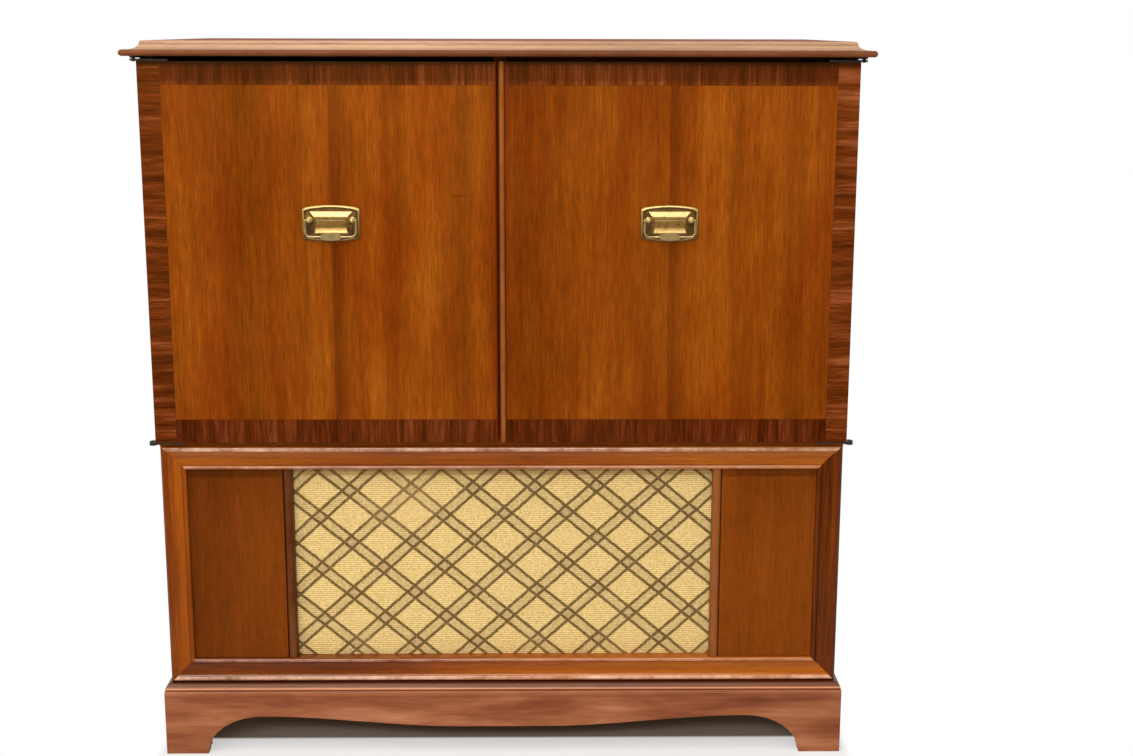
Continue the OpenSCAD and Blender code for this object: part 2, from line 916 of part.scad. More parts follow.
module catch_stud(x) {
    y0 = y_door + door_t;
    turned_y(x, y0, catch_z)
        polygon(concat(
            [[0, 0], [6, 0], [6, 0.4], [1.6, 0.4]],
            [for (i = [0:8]) let (a = -55 + 145 * i / 8)
                [catch_r * cos(a), door_gap + catch_in + catch_r * sin(a)]]
        ));
}

module left_door_fittings() {
    mirror([1, 0, 0]) {
        door_leaf(z_low_door);
        door_leaf(z_high_door);
    }
    color("dimgray")
        catch_stud(left_edge - catch_x);
}

module right_door_fittings() {
    door_leaf(z_low_door);
    door_leaf(z_high_door);
    color("dimgray")
        catch_stud(right_edge + catch_x);
}

module pull_bolt_holes(x) {
    for (s = [-1, 1])
        rod_y(x + s * post_gap / 2, y_door - 1, y_door + door_t + 1, pull_z + post_up, pull_bolt_r);
}

module left_door() {
    color("sienna")
        difference() {
            block([-x_side, y_door, z_door], [left_edge, y_door + door_t, z_door_top]);
            pull_bolt_holes(-pull_x);
        }
}

module right_door() {
    color("sienna")
        difference() {
            block([right_edge, y_door, z_door], [x_side, y_door + door_t, z_door_top]);
            pull_bolt_holes(pull_x);
        }
}

module right_door_bead() {
    r = edge_bead_w / 2;
    color("peru")
        along_z(z_door, z_door_top)
            polygon(concat([[right_edge, y_door + door_t]],
                arc(bead_edge + r, y_door + r - edge_bead_out, r, 0, -180, 10),
                [[bead_edge, y_door + door_t]]));
}

// Pulls

module plate_plan(w, h, rise, clip) {
    r = (w * w / 4 + rise * rise) / (2 * rise);
    half = asin(w / 2 / r);
    polygon(concat(
        [[-w / 2, -h / 2 + clip], [-w / 2, h / 2 - clip]],
        [for (i = [1:15]) let (a = 90 + half - half * i / 8) [r * cos(a), h / 2 + rise - r + r * sin(a)]],
        [[w / 2, h / 2 - clip], [w / 2, -h / 2 + clip]],
        [for (i = [1:15]) let (a = -90 + half - half * i / 8) [r * cos(a), -h / 2 - rise + r + r * sin(a)]]
    ));
}

// The raised field is notched below its upper corners, beside the posts
module field_plan(inset, drop) {
    top = field_h / 2 - drop;
    half = field_w / 2 - inset;
    low = post_gap / 2 - post_foot_r - 0.4 - inset;
    polygon([[-half, top + 2], [half, top + 2], [half, top - 2], [low, post_up + post_foot_r + 0.4],
             [low - 1, -top], [1 - low, -top], [-low, post_up + post_foot_r + 0.4], [-half, top - 2]]);
}

post_foot_r = 4.2;
module pull_plate(x) {
    step = 6;
    y_face = y_door - plate_t;
    color("goldenrod") {
        difference() {
            translate([x, 0, pull_z])
                union() {
                    along_y(y_face, y_door)
                        plate_plan(plate_w, plate_h, plate_arch, plate_clip);
                    along_y(y_face - plate_rim_t, y_face + 0.5)
                        difference() {
                            plate_plan(plate_w, plate_h, plate_arch, plate_clip);
                            plate_plan(plate_w - 2 * plate_rim_w, plate_h - 2 * plate_rim_w, plate_arch, plate_clip);
                        }
                    along_y(y_face - field_t, y_face + 0.5)
                        field_plan(0, 0);
                }
            translate([x, 0, pull_z])
                along_y(y_face - field_t - 1, y_face - 0.4)
                    field_plan(step, step - 1);
            for (s = [-1, 1])
                rod_y(x + s * post_gap / 2, y_face - 1, y_door + 1, pull_z + post_up, pull_bolt_r);
        }
        for (s = [-1, 1])
            pull_post(x + s * post_gap / 2);
    }
}

// A ball-headed bolt through the door, bored across for the end of the bail
module pull_post(x) {
    neck = 2.2;
    seat = 0.05;
    y_pivot = y_door - plate_t - post_out;
    bolt = pull_bolt_r - 0.1;
    difference() {
        turned_y(x, y_pivot, pull_z + post_up)
            polygon(concat(
                [for (i = [0:10]) let (a = -90 + (90 + acos(neck / post_ball_r)) * i / 10)
                    [post_ball_r * cos(a), post_ball_r * sin(a)]],
                [[neck, post_out - 1.4], [post_foot_r, post_out - 0.8], [post_foot_r, post_out - seat],
                 [bolt, post_out - seat], [bolt, post_out + plate_t + door_t], [0, post_out + plate_t + door_t]]
            ));
        rod_x(x - 10, x + 10, y_pivot, pull_z + post_up, bail_pin_r + shaft_fit);
    }
}

bail_pin_r = 1.4;
// The swinging bail: two pins that point inward, two bowed legs and a flat grip
module bail(x) {
    y_pivot = y_door - plate_t - post_out;
    z_pivot = pull_z + post_up;
    leg_x = post_gap / 2 + post_ball_r + run_gap + bail_r;
    grip_z = z_pivot - bail_drop + grip_h / 2;
    bend = 7;
    color("goldenrod")
        translate([x, y_pivot, 0]) {
            mirrored_x() {
                rod_x(leg_x - bail_r - 2 * post_ball_r, leg_x, 0, z_pivot, bail_pin_r);
                translate([leg_x, 0, z_pivot])
                    sphere(r = bail_r + 0.3, $fn = round_fn);
                rod_z(leg_x, 0, grip_z + bend, z_pivot, bail_r);
                translate([leg_x - bend, 0, grip_z + bend])
                    rotate([-90, 0, 0])
                        rotate_extrude(angle = 90, $fn = round_fn)
                            translate([bend, 0])
                                circle(r = bail_r, $fn = 24);
                rod_x(grip_w / 2 - 1, leg_x - bend, 0, grip_z, bail_r);
            }
            along_y(-bail_r, bail_r)
                translate([0, grip_z])
                    plate_plan(grip_w, grip_h - 3, 1.5, 1);
        }
}

module left_pull_plate() {
    pull_plate(-pull_x);
}

module left_bail() {
    bail(-pull_x);
}

module right_pull_plate() {
    pull_plate(pull_x);
}

module right_bail() {
    bail(pull_x);
}

// Record changer

cut_w = unit_w - 40;
cut_d = unit_d - 40;
idler_x = platter_x + idler_out * cos(drive_turn);
idler_y = platter_y + idler_out * sin(drive_turn);
motor_x = platter_x + pulley_out * cos(drive_turn);
motor_y = platter_y + pulley_out * sin(drive_turn);

module changer_deck() {
    color("peru")
        difference() {
            block([-x_in, y_apron, z_deck - deck_t], [-half_board, y_inner, z_deck]);
            translate([unit_x, unit_y, 0])
                along_z(z_deck - deck_t - 1, z_deck + 1)
                    rounded_plan(cut_w, cut_d, 12);
        }
}

module changer_apron() {
    color("saddlebrown")
        block([-x_in, y_apron, z_shelf], [-half_board, y_apron + deck_t, z_deck - deck_t]);
}

module changer_base_plate() {
    color("burlywood")
        union() {
            difference() {
                translate([unit_x, unit_y, 0])
                    along_z(z_deck, z_unit)
                        rounded_plan(unit_w, unit_d, 18);
                translate([unit_x, unit_y, 0])
                    along_z(z_deck - 1, z_unit - unit_t)
                        rounded_plan(unit_w - 2 * unit_t, unit_d - 2 * unit_t, 16);
                rod_z(platter_x, platter_y, z_deck, z_unit + 1, bush_r + shaft_fit);
                rod_z(motor_x, motor_y, z_deck, z_unit + 1, motor_shaft_r + 1);
                rod_z(arm_x, arm_y, z_deck, z_unit + 1, arm_shaft_r + 3);
                rod_z(balance_x, balance_y, z_deck, z_unit + 1, balance_r + shaft_fit);
                rod_z(changer_knob_x, changer_knob_y, z_deck, z_unit + 1, control_r + shaft_fit);
            }
            rod_z(idler_x, idler_y, z_unit - tiny, z_wheel + wheel_h, idler_pin_r);
        }
}

module spindle() {
    color("silver")
        turned_z(platter_x, platter_y, 0)
            polygon([[0, z_deck - 12], [bush_r, z_deck - 12], [bush_r, z_hub], [spindle_hub_r, z_hub],
                     [spindle_hub_r, z_mat], [spindle_r, z_mat], [spindle_r, z_mat + spindle_up - spindle_tip],
                     [spindle_r - 1.6, z_mat + spindle_up], [0, z_mat + spindle_up]]);
}

module drive_motor() {
    z1 = z_unit - unit_t;
    color("dimgray")
        difference() {
            union() {
                rod_z(motor_x, motor_y, z1 - 6 - motor_h, z1 - 6, motor_r);
                rod_z(motor_x, motor_y, z1 - 6, z1, 14);
            }
            rod_z(motor_x, motor_y, z1 - 30, z1 + 1, motor_shaft_r + shaft_fit);
        }
}

module motor_pulley() {
    color("goldenrod")
        union() {
            rod_z(motor_x, motor_y, z_unit - unit_t - 28, z_wheel - 0.5 + tiny, motor_shaft_r);
            rod_z(motor_x, motor_y, z_wheel - 0.5, z_wheel + wheel_h + 0.5, pulley_r);
        }
}

module idler_wheel() {
    color("darkslategray")
        difference() {
            rod_z(idler_x, idler_y, z_wheel, z_wheel + wheel_h, idler_r);
            rod_z(idler_x, idler_y, z_wheel - 1, z_wheel + wheel_h + 1, idler_pin_r + shaft_fit);
            for (z = [z_wheel - 1, z_wheel + wheel_h - 2])
                translate([0, 0, z])
                    difference() {
                        rod_z(idler_x, idler_y, 0, 3, idler_r - 5);
                        rod_z(idler_x, idler_y, -1, 4, idler_pin_r + 3);
                    }
        }
}

module platter() {
    hub_r = 14;
    bore = spindle_hub_r + shaft_fit;
    color("maroon") {
        turned_z(platter_x, platter_y, 0)
            polygon([[bore, z_hub + run_gap], [hub_r, z_hub + run_gap], [hub_r, z_platter_top - disc_t],
                     [rim_in, z_platter_top - disc_t], [rim_in, z_platter], [platter_r, z_platter],
                     [platter_r, z_platter_top - 1.5], [platter_r - 1.5, z_platter_top], [bore, z_platter_top]]);
        turned_z(platter_x, platter_y, 0)
            polygon([[bore, z_platter_top + tiny], [platter_r - 5, z_platter_top + tiny],
                     [platter_r - 5, z_mat - 0.4], [platter_r - 5.4, z_mat], [bore, z_mat]]);
    }
}

rest_y = arm_y - arm_l * 0.62;
yoke_r = 15;
yoke_down = 16;
arm_w = 20;
arm_t = 15;
flange_r = 24;
flange_t = 3;
post_r = 12;
rest_post_r = 3.5;
rest_cup_r = 8;
module tonearm_posts() {
    color("silver") {
        difference() {
            turned_z(arm_x, arm_y, 0)
                polygon([[0, z_unit], [flange_r, z_unit], [flange_r, z_unit + flange_t],
                         [post_r + 1, z_unit + 2 * flange_t], [post_r, z_arm - yoke_down],
                         [0, z_arm - yoke_down]]);
            rod_z(arm_x, arm_y, z_unit - 1, z_arm, arm_shaft_r + shaft_fit);
        }
        turned_z(arm_x, rest_y, 0)
            polygon([[0, z_unit], [rest_cup_r + 1, z_unit], [rest_cup_r + 1, z_unit + 2],
                     [rest_post_r, z_unit + 4], [rest_post_r, z_arm - arm_t / 2 - 5],
                     [rest_cup_r, z_arm - arm_t / 2 - run_gap], [0, z_arm - arm_t / 2 - run_gap]]);
    }
}

module tonearm_yoke() {
    ear_t = 3;
    inner = arm_w / 2 + run_gap;
    color("silver")
        union() {
            rod_z(arm_x, arm_y, z_unit + 2, z_arm - yoke_down + run_gap + tiny, arm_shaft_r);
            rod_z(arm_x, arm_y, z_arm - yoke_down + run_gap, z_arm - yoke_down + 4, yoke_r);
            difference() {
                for (s = [-1, 1])
                    block([arm_x + min(s * inner, s * (inner + ear_t)), arm_y - 8, z_arm - yoke_down + 4 - tiny],
                          [arm_x + max(s * inner, s * (inner + ear_t)), arm_y + 8, z_arm + 6]);
                rod_x(arm_x - 20, arm_x + 20, arm_y, z_arm, arm_pin_r + shaft_fit);
            }
        }
}

// The arm's plan: wider at the pivot, narrower at the head, rounded at the tail
module tonearm() {
    y_head = arm_y - arm_l + head_l - 12;
    half = arm_w / 2;
    color("saddlebrown")
        union() {
            difference() {
                intersection() {
                    along_z(z_arm - arm_t / 2, z_arm + arm_t / 2)
                        polygon(concat(
                            [[arm_x - half * 0.72, y_head], [arm_x + half * 0.72, y_head], [arm_x + half, arm_y]],
                            arc(arm_x, arm_y + arm_tail - half, half, 0, 180, 10),
                            [[arm_x - half, arm_y]]
                        ));
                    along_x(arm_x - arm_w, arm_x + arm_w)
                        polygon([[y_head, z_arm - arm_t / 2], [y_head, z_arm + arm_t / 2 - 4],
                                 [y_head + 40, z_arm + arm_t / 2 - 1], [arm_y - 20, z_arm + arm_t / 2],
                                 [arm_y + arm_tail, z_arm + arm_t / 2 - 2], [arm_y + arm_tail, z_arm - arm_t / 2]]);
                }
                along_z(z_arm - arm_t / 2 - 1, z_arm - 1)
                    polygon([[arm_x - half * 0.5, y_head + 6], [arm_x + half * 0.5, y_head + 6],
                             [arm_x + half - 3, arm_y - 16], [arm_x - half + 3, arm_y - 16]]);
                block([arm_x - half - 1, rest_y - 9, z_arm - arm_t / 2 - 1],
                      [arm_x + half + 1, rest_y + 9, z_arm - arm_t / 2 + tiny]);
            }
            rod_x(arm_x - half - run_gap - 3, arm_x + half + run_gap + 3, arm_y, z_arm, arm_pin_r);
            block([arm_x - half + 3 - tiny, rest_y - 8, z_arm - arm_t / 2],
                  [arm_x + half - 3 + tiny, rest_y + 8, z_arm - arm_t / 2 + 3]);
        }
}

module pickup_head() {
    y1 = arm_y - arm_l + head_l - 12;
    y0 = y1 - head_l;
    z1 = z_arm + arm_t / 2 - 4;
    z0 = z_needle + 4;
    color("black")
        union() {
            difference() {
                along_x(arm_x - 10, arm_x + 10)
                    polygon([[y0, z0], [y0, z1 - 7], [y0 + 6, z1 - 2], [y0 + 14, z1], [y1, z1], [y1, z0 + 1]]);
                for (s = [-1, 1])
                    along_z(z0 - 1, z1 + 1)
                        polygon([[arm_x + s * 11, y0 - 1], [arm_x + s * 6, y0 - 1], [arm_x + s * 11, y0 + 12]]);
            }
            translate([arm_x, arm_y - arm_l, z_needle])
                cylinder(h = 6, r1 = 0.5, r2 = 1.4, $fn = 24);
            translate([arm_x, y0 + 5, z0 + 3])
                rod_x(0, 22, 0, 0, 1.2);
        }
}

// The balance arm is parked along the back of the base plate
module balance_arm() {
    color("silver")
        union() {
            rod_z(balance_x, balance_y, z_deck + 1, z_balance + tiny, balance_r);
            rod_z(balance_x, balance_y, z_unit + run_gap, z_unit + 4, balance_r + 4);
            rod_x(balance_x, balance_x + balance_l, balance_y, z_balance + 2, 2.2);
            rod_z(balance_x, balance_y, z_balance, z_balance + 8, balance_r + 2.5);
            rod_z(balance_x + balance_l, balance_y, z_balance - 4, z_balance + 7, 8);
        }
}

module changer_knob() {
    color("black")
        union() {
            rod_z(changer_knob_x, changer_knob_y, z_deck + 1, z_unit + 1.5, control_r);
            rod_z(changer_knob_x, changer_knob_y, z_unit + run_gap, z_unit + 12, 12);
            block([changer_knob_x - 2, changer_knob_y - 11, z_unit + 12 - tiny],
                  [changer_knob_x + 2, changer_knob_y + 11, z_unit + 15]);
        }
}

// Album storage

module album_dividers() {
    z0 = z_shelf;
    z1 = z_radio;
    sweep = 46;
    color("tan")
        for (i = [1, 2])
            translate([half_board + i * divider_gap + (i - 1) * divider_t, 0, 0])
                along_x(0, divider_t)
                    polygon(concat(
                        [[y_inner, z0], [y_inner, z1], [y_case + divider_in, z1]],
                        [for (j = [1:11]) let (f = j / 12)
                            [y_case + divider_in + sweep * sin(180 * f), z1 + (z0 - z1) * f]],
                        [[y_case + divider_in, z0]]
                    ));
}

// Radio

module radio_shelf() {
    color("saddlebrown")
        block([half_board, y_radio, z_radio], [x_in, y_inner, z_radio_floor]);
}

module each_knob() {
    for (i = [0:3])
        translate([bay_x + (i - 1.5) * knob_gap, 0, 0])
            children();
}

module radio_panel() {
    color("sienna")
        difference() {
            block([half_board, y_radio, z_radio_floor], [x_in, y_radio_back, z_top]);
            block([bay_x - dial_w / 2 - 1, y_radio - 1, z_dial - dial_h / 2 - 1],
                  [bay_x + dial_w / 2 + 1, y_radio_back + 1, z_dial + dial_h / 2 + 1]);
            each_knob()
                rod_y(0, y_radio - 1, y_radio_back + 1, z_knob, control_r + 0.6);
        }
}

module dial_bezel() {
    t = 4;
    sink = 1.4;
    color("goldenrod")
        translate([bay_x, 0, z_dial])
            difference() {
                union() {
                    along_y(y_radio - t + sink, y_radio)
                        rounded_plan(dial_w + 2 * bezel_w, dial_h + 2 * bezel_w, 9);
                    along_y(y_radio - t, y_radio - t + sink + tiny)
                        rounded_plan(dial_w + 2 * bezel_w - 2 * sink, dial_h + 2 * bezel_w - 2 * sink, 8);
                }
                along_y(y_radio - t - 1, y_radio + 1)
                    rounded_plan(dial_w, dial_h, 5);
            }
}

module dial_glass() {
    color("lightblue", 0.4)
        block([bay_x - dial_w / 2 - glass_lap, y_glass, z_dial - dial_h / 2 - glass_lap],
              [bay_x + dial_w / 2 + glass_lap, y_glass + glass_t, z_dial + dial_h / 2 + glass_lap]);
}

module dial_scale() {
    color("ivory")
        block([bay_x - dial_w / 2 - 6, y_scale, scale_low],
              [bay_x + dial_w / 2 + 6, y_chassis, scale_top]);
}

// The pointer hangs over the top edge of the scale and runs along it
module dial_pointer() {
    over = run_gap;
    color("red")
        translate([bay_x, 0, 0])
            union() {
                block([-0.9, y_pointer, z_dial - dial_h / 2 + 3], [0.9, y_pointer + pointer_t, scale_top + 3]);
                block([-7, y_pointer, scale_top + over], [7, y_chassis + over + 1.2, scale_top + 3]);
                block([-7, y_chassis + over, scale_top - 6], [7, y_chassis + over + 1.2, scale_top + 3]);
                block([-7, y_pointer, scale_top - 3], [7, y_pointer + pointer_t, scale_top + 3]);
            }
}

module radio_chassis() {
    t = chassis_t;
    x0 = bay_x - chassis_w / 2;
    x1 = bay_x + chassis_w / 2;
    color("silver")
        difference() {
            block([x0, y_chassis, z_radio_floor], [x1, y_chassis + chassis_d, z_chassis]);
            block([x0 + t, y_chassis + t, z_radio_floor - 1], [x1 - t, y_chassis + chassis_d - t, z_chassis - t]);
            each_knob()
                rod_y(0, y_chassis - 1, y_chassis + t + 1, z_knob, control_r + shaft_fit);
        }
}

// Tubes stand in a bent row on the chassis: each place is a share of its width and depth
tube_h = 76;
tube_base_r = 15;
tube_base_h = 16;
tube_neck_r = 13;
tube_neck_h = 22;
tube_bulb_r = 19;
tube_dome = 24;
tube_spots = [[-0.4, 0.21], [-0.4, 0.5], [-0.27, 0.68], [-0.115, 0.71], [-0.17, 0.395], [0.03, 0.68]];
module radio_tubes() {
    z_bulb = tube_h - tube_dome;
    color("gainsboro")
        for (p = tube_spots)
            turned_z(bay_x + p[0] * chassis_w, y_chassis + p[1] * chassis_d, z_chassis)
                polygon(concat(
                    [[0, 0], [tube_base_r, 0], [tube_base_r, tube_base_h], [tube_neck_r, tube_neck_h]],
                    [for (i = [0:8]) let (a = -40 + 130 * i / 8)
                        [tube_bulb_r * cos(a), z_bulb + tube_dome * sin(a)]],
                    [[0, tube_h]]
                ));
}

core_w = 88;
core_d = 76;
core_h = 18;
bell_in = 6;
bell_low = 8;
bell_high = 20;
module power_transformer() {
    x = bay_x + chassis_w / 2 - core_w / 2 - 4;
    y = y_chassis + chassis_d - core_d / 2 - 14;
    z0 = z_chassis + bell_low;
    z1 = z0 + core_h;
    color("dimgray")
        union() {
            block([x - core_w / 2 + bell_in, y - core_d / 2 + bell_in, z_chassis],
                  [x + core_w / 2 - bell_in, y + core_d / 2 - bell_in, z0]);
            block([x - core_w / 2, y - core_d / 2, z0 - tiny], [x + core_w / 2, y + core_d / 2, z1]);
            block([x - core_w / 2 + bell_in + 4, y - core_d / 2 + bell_in + 4, z1 - tiny],
                  [x + core_w / 2 - bell_in - 4, y + core_d / 2 - bell_in - 4, z1 + bell_high]);
        }
}

// The capacitor's fixed plates sit above its shaft and its turning plates below it
module tuning_capacitor() {
    half_w = rotor_r + 6;
    y0 = cap_y;
    y1 = cap_y + cap_l;
    z_deckplate = z_chassis + 2;
    color("silver")
        difference() {
            union() {
                block([cap_x - half_w, y0, z_chassis], [cap_x + half_w, y1, z_deckplate]);
                for (y = [y0, y1 - 2])
                    block([cap_x - half_w, y, z_chassis], [cap_x + half_w, y + 2, z_cap + 10]);
                for (s = [-1, 1])
                    block([cap_x + s * (half_w - 1) - 1, y0, z_cap + 6], [cap_x + s * (half_w - 1) + 1, y1, z_cap + 10]);
                for (i = [0:cap_plates])
                    translate([0, y0 + 6.5 + i * cap_pitch, 0])
                        block([cap_x - half_w, 0, z_cap + 6], [cap_x + half_w, cap_t, z_cap + 10]);
            }
            rod_y(cap_x, y0 - 1, y1 + 1, z_cap, control_r + shaft_fit);
        }
}

module capacitor_rotor() {
    color("gainsboro")
        union() {
            rod_y(cap_x, cap_y - 5, cap_y + cap_l + 3, z_cap, control_r);
            for (i = [0:cap_plates - 1])
                translate([cap_x, cap_y + 6.5 + (i + 0.5) * cap_pitch, z_cap])
                    intersection() {
                        rod_y(0, 0, cap_t, 0, rotor_r);
                        block([-rotor_r - 1, -1, -rotor_r - 1], [rotor_r + 1, cap_t + 1, control_r - 1]);
                    }
        }
}

// Knobs

module control(i) {
    x = bay_x + (i - 1.5) * knob_gap;
    y0 = y_radio - knob_clear - knob_d;
    color("maroon")
        union() {
            turned_y(x, y0, z_knob)
                polygon([[0, 1.2], [knob_r * 0.62, 1.2], [knob_r * 0.7, 0], [knob_r * 0.82, 0.4],
                         [knob_r * 0.9, 2], [knob_r * 0.93, knob_d - 4], [knob_r, knob_d - 2.5],
                         [knob_r, knob_d], [0, knob_d]]);
            rod_y(x, y0 + knob_d - 1, shaft_back, z_knob, control_r);
        }
}

module volume_knob() {
    control(0);
}

module tone_knob() {
    control(1);
}

module band_knob() {
    control(2);
}

module tuning_knob() {
    control(3);
}

top_panel();
left_side();
right_side();
divider_shelf();
bottom_board();
centre_partition();
back_panels();
back_screws();
base_front();
base_sides();
base_rear_frame();
lower_frame();
grille_side_panels();
grille_beads();
grille_cloth();
baffle_board();
speaker_frame();
speaker_magnet();
speaker_cone();
case_door_fittings();
left_door();
left_door_fittings();
left_pull_plate();
left_bail();
right_door();
right_door_bead();
right_door_fittings();
right_pull_plate();
right_bail();
changer_deck();
changer_apron();
changer_base_plate();
spindle();
drive_motor();
motor_pulley();
idler_wheel();
platter();
tonearm_posts();
tonearm_yoke();
tonearm();
pickup_head();
balance_arm();
changer_knob();
album_dividers();
radio_shelf();
radio_panel();
dial_bezel();
dial_glass();
dial_scale();
dial_pointer();
radio_chassis();
radio_tubes();
power_transformer();
tuning_capacitor();
capacitor_rotor();
volume_knob();
tone_knob();
band_knob();
tuning_knob();
cord_grommet();
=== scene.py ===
# Console radio-phonograph with its doors closed: veneered case, moulded grille frame, bracket base.
import json
import math
import random

import bmesh
import bpy
from mathutils import Matrix, Vector

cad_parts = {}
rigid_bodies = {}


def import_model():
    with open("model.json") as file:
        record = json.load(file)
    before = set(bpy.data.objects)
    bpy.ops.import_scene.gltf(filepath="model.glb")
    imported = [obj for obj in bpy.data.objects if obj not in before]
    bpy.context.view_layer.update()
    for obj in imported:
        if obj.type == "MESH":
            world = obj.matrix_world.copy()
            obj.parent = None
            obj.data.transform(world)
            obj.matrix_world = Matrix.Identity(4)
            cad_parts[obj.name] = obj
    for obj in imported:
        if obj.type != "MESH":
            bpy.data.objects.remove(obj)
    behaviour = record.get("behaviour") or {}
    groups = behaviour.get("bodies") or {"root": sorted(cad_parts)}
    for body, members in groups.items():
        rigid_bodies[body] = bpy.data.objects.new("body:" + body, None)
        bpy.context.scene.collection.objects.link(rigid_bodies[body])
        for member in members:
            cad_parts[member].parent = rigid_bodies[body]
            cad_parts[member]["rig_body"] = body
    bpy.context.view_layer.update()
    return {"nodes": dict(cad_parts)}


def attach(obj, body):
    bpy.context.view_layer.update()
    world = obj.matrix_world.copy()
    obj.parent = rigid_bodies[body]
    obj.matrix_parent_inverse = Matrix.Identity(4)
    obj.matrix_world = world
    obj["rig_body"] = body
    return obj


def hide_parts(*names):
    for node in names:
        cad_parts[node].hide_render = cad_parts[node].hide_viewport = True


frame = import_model()
nodes = frame["nodes"]
scene = bpy.context.scene
scene.view_settings.view_transform = "Standard"
mm = 0.001
print("frame loaded:", len(nodes), "nodes")


def tint(red, green, blue):  # a colour as a screen shows it, 0 to 255, made linear
    channels = [c / 255 for c in (red, green, blue)]
    return tuple(c / 12.92 if c < 0.04 else ((c + 0.055) / 1.055) ** 2.4 for c in channels) + (1.0,)


def toneStops(places, *colours):  # the stops of a colour ramp
    return [(stop, tint(*colour)) for stop, colour in zip(places, colours)]


def linked(name, data):
    made = bpy.data.objects.new(name, data)
    scene.collection.objects.link(made)
    return made


# The photographer's place, in metres and radians
camera = {
    "place": (0.05993, -2.4193, 1.03275),
    "pan": -0.0134,
    "dip": 0.2112,
    "roll": 0.0022,
    "lens": 51.96,
    "sensor": 36.0,
}


def makeCamera(c):
    data = bpy.data.cameras.new("camera")
    data.lens = c["lens"]
    data.sensor_width = c["sensor"]
    turn = Matrix.Rotation(c["pan"], 4, "Z") @ Matrix.Rotation(math.pi / 2 - c["dip"], 4, "X")
    scene.camera = linked("camera", data)
    scene.camera.matrix_world = Matrix.Translation(c["place"]) @ turn @ Matrix.Rotation(c["roll"], 4, "Z")


makeCamera(camera)


class Nodes:  # a node tree and short ways to add to it
    def __init__(self, tree):
        self.tree = tree

    def join(self, value, socket):
        if isinstance(value, bpy.types.NodeSocket):
            self.tree.links.new(value, socket)
        else:
            socket.default_value = value

    def add(self, kind, inputs=None, **settings):
        made = self.tree.nodes.new("ShaderNode" + kind)
        for name, value in settings.items():
            setattr(made, name, value)
        for name, value in (inputs or {}).items():
            self.join(value, made.inputs[name])
        return made

    def axes(self, vector):
        return self.add("SeparateXYZ", {0: vector}).outputs

    def calc(self, kind, a, b=0.0, c=0.0):
        return self.add("Math", {0: a, 1: b, 2: c}, operation=kind).outputs[0]

    def scaled(self, value, by, plus=0.0):
        return self.calc("MULTIPLY_ADD", value, by, plus)

    def most(self, a, b):
        return self.calc("MAXIMUM", a, b)

    def gap(self, value, middle):
        return self.calc("ABSOLUTE", self.calc("SUBTRACT", value, middle))

    def sum(self, terms, base=0.5):  # base plus each (value, weight) measured from one half
        total = base - sum(weight for _, weight in terms) / 2
        for value, weight in terms:
            total = self.scaled(value, weight, total)
        return total

    def step(self, value, low, high, to=(0.0, 1.0)):  # a smooth change between two values
        inputs = {"Value": value, "From Min": low, "From Max": high, "To Min": to[0], "To Max": to[1]}
        return self.add("MapRange", inputs, interpolation_type="SMOOTHSTEP").outputs[0]

    def ramp(self, value, stops, easing="LINEAR"):
        made = self.add("ValToRGB", {0: value})
        elements = made.color_ramp.elements
        made.color_ramp.interpolation = easing
        while len(elements) < len(stops):
            elements.new(0.5)
        for element, (place, _) in zip(elements, stops):
            element.position = place
        for element, (_, colour) in zip(elements, stops):  # moving one sorts them, so colours come last
            element.color = colour
        return made.outputs[0]

    def mix(self, share, a, b):
        return self.add("Mix", {0: share, 6: a, 7: b}, data_type="RGBA").outputs[2]

    def stain(self, colour, share, strength, over):
        return self.mix(self.scaled(share, strength), colour, over)


finishes = {}  # every material by its name


class Finish(Nodes):  # a material painted in the coordinates of its piece
    def __init__(self, name, specular=0.5, **surface):
        finishes[name] = bpy.data.materials.new(name)
        finishes[name].use_nodes = True
        super().__init__(finishes[name].node_tree)
        self.shader = self.tree.nodes["Principled BSDF"]
        self.place = self.add("TexCoord").outputs["Object"]
        self.set("Specular IOR Level", specular)
        for socket, value in surface.items():
            self.set(socket, value)

    def set(self, socket, value):
        self.join(value, self.shader.inputs[socket])

    def spot(self):  # x, y and z in millimetres
        scaled = self.add("VectorMath", {0: self.place, "Scale": 1 / mm}, operation="SCALE")
        return self.axes(scaled.outputs[0])

    def stretch(self, scale, shift=(0, 0, 0), turn=(0, 0, 0), vector=None):
        # scale is in counts a metre: one for every axis, or three
        scale = scale if hasattr(scale, "__len__") else (scale,) * 3
        inputs = {"Vector": vector or self.place, "Location": shift, "Rotation": turn, "Scale": scale}
        return self.add("Mapping", inputs).outputs[0]

    def noise(self, scale, detail=2.0, rough=0.5, bend=0.0, **spread):
        inputs = {"Vector": self.stretch(scale, **spread), "Scale": 1.0}
        inputs.update({"Detail": detail, "Roughness": rough, "Distortion": bend})
        return self.add("TexNoise", inputs).outputs[0]

    def paint(self, colour, rough, height=None, depth=0.0, strength=0.0):  # depth in millimetres
        self.set("Base Color", colour)
        self.set("Roughness", rough)
        if height:
            inputs = {"Height": height, "Distance": depth * mm, "Strength": strength}
            self.set("Normal", self.add("Bump", inputs).outputs[0])

    def polish(self, colour, pores, cloud, rough=(0.3, 0.42)):
        self.paint(colour, self.step(cloud, 0.25, 0.75, rough), self.calc("SUBTRACT", 1.0, pores), 0.05, 0.6)


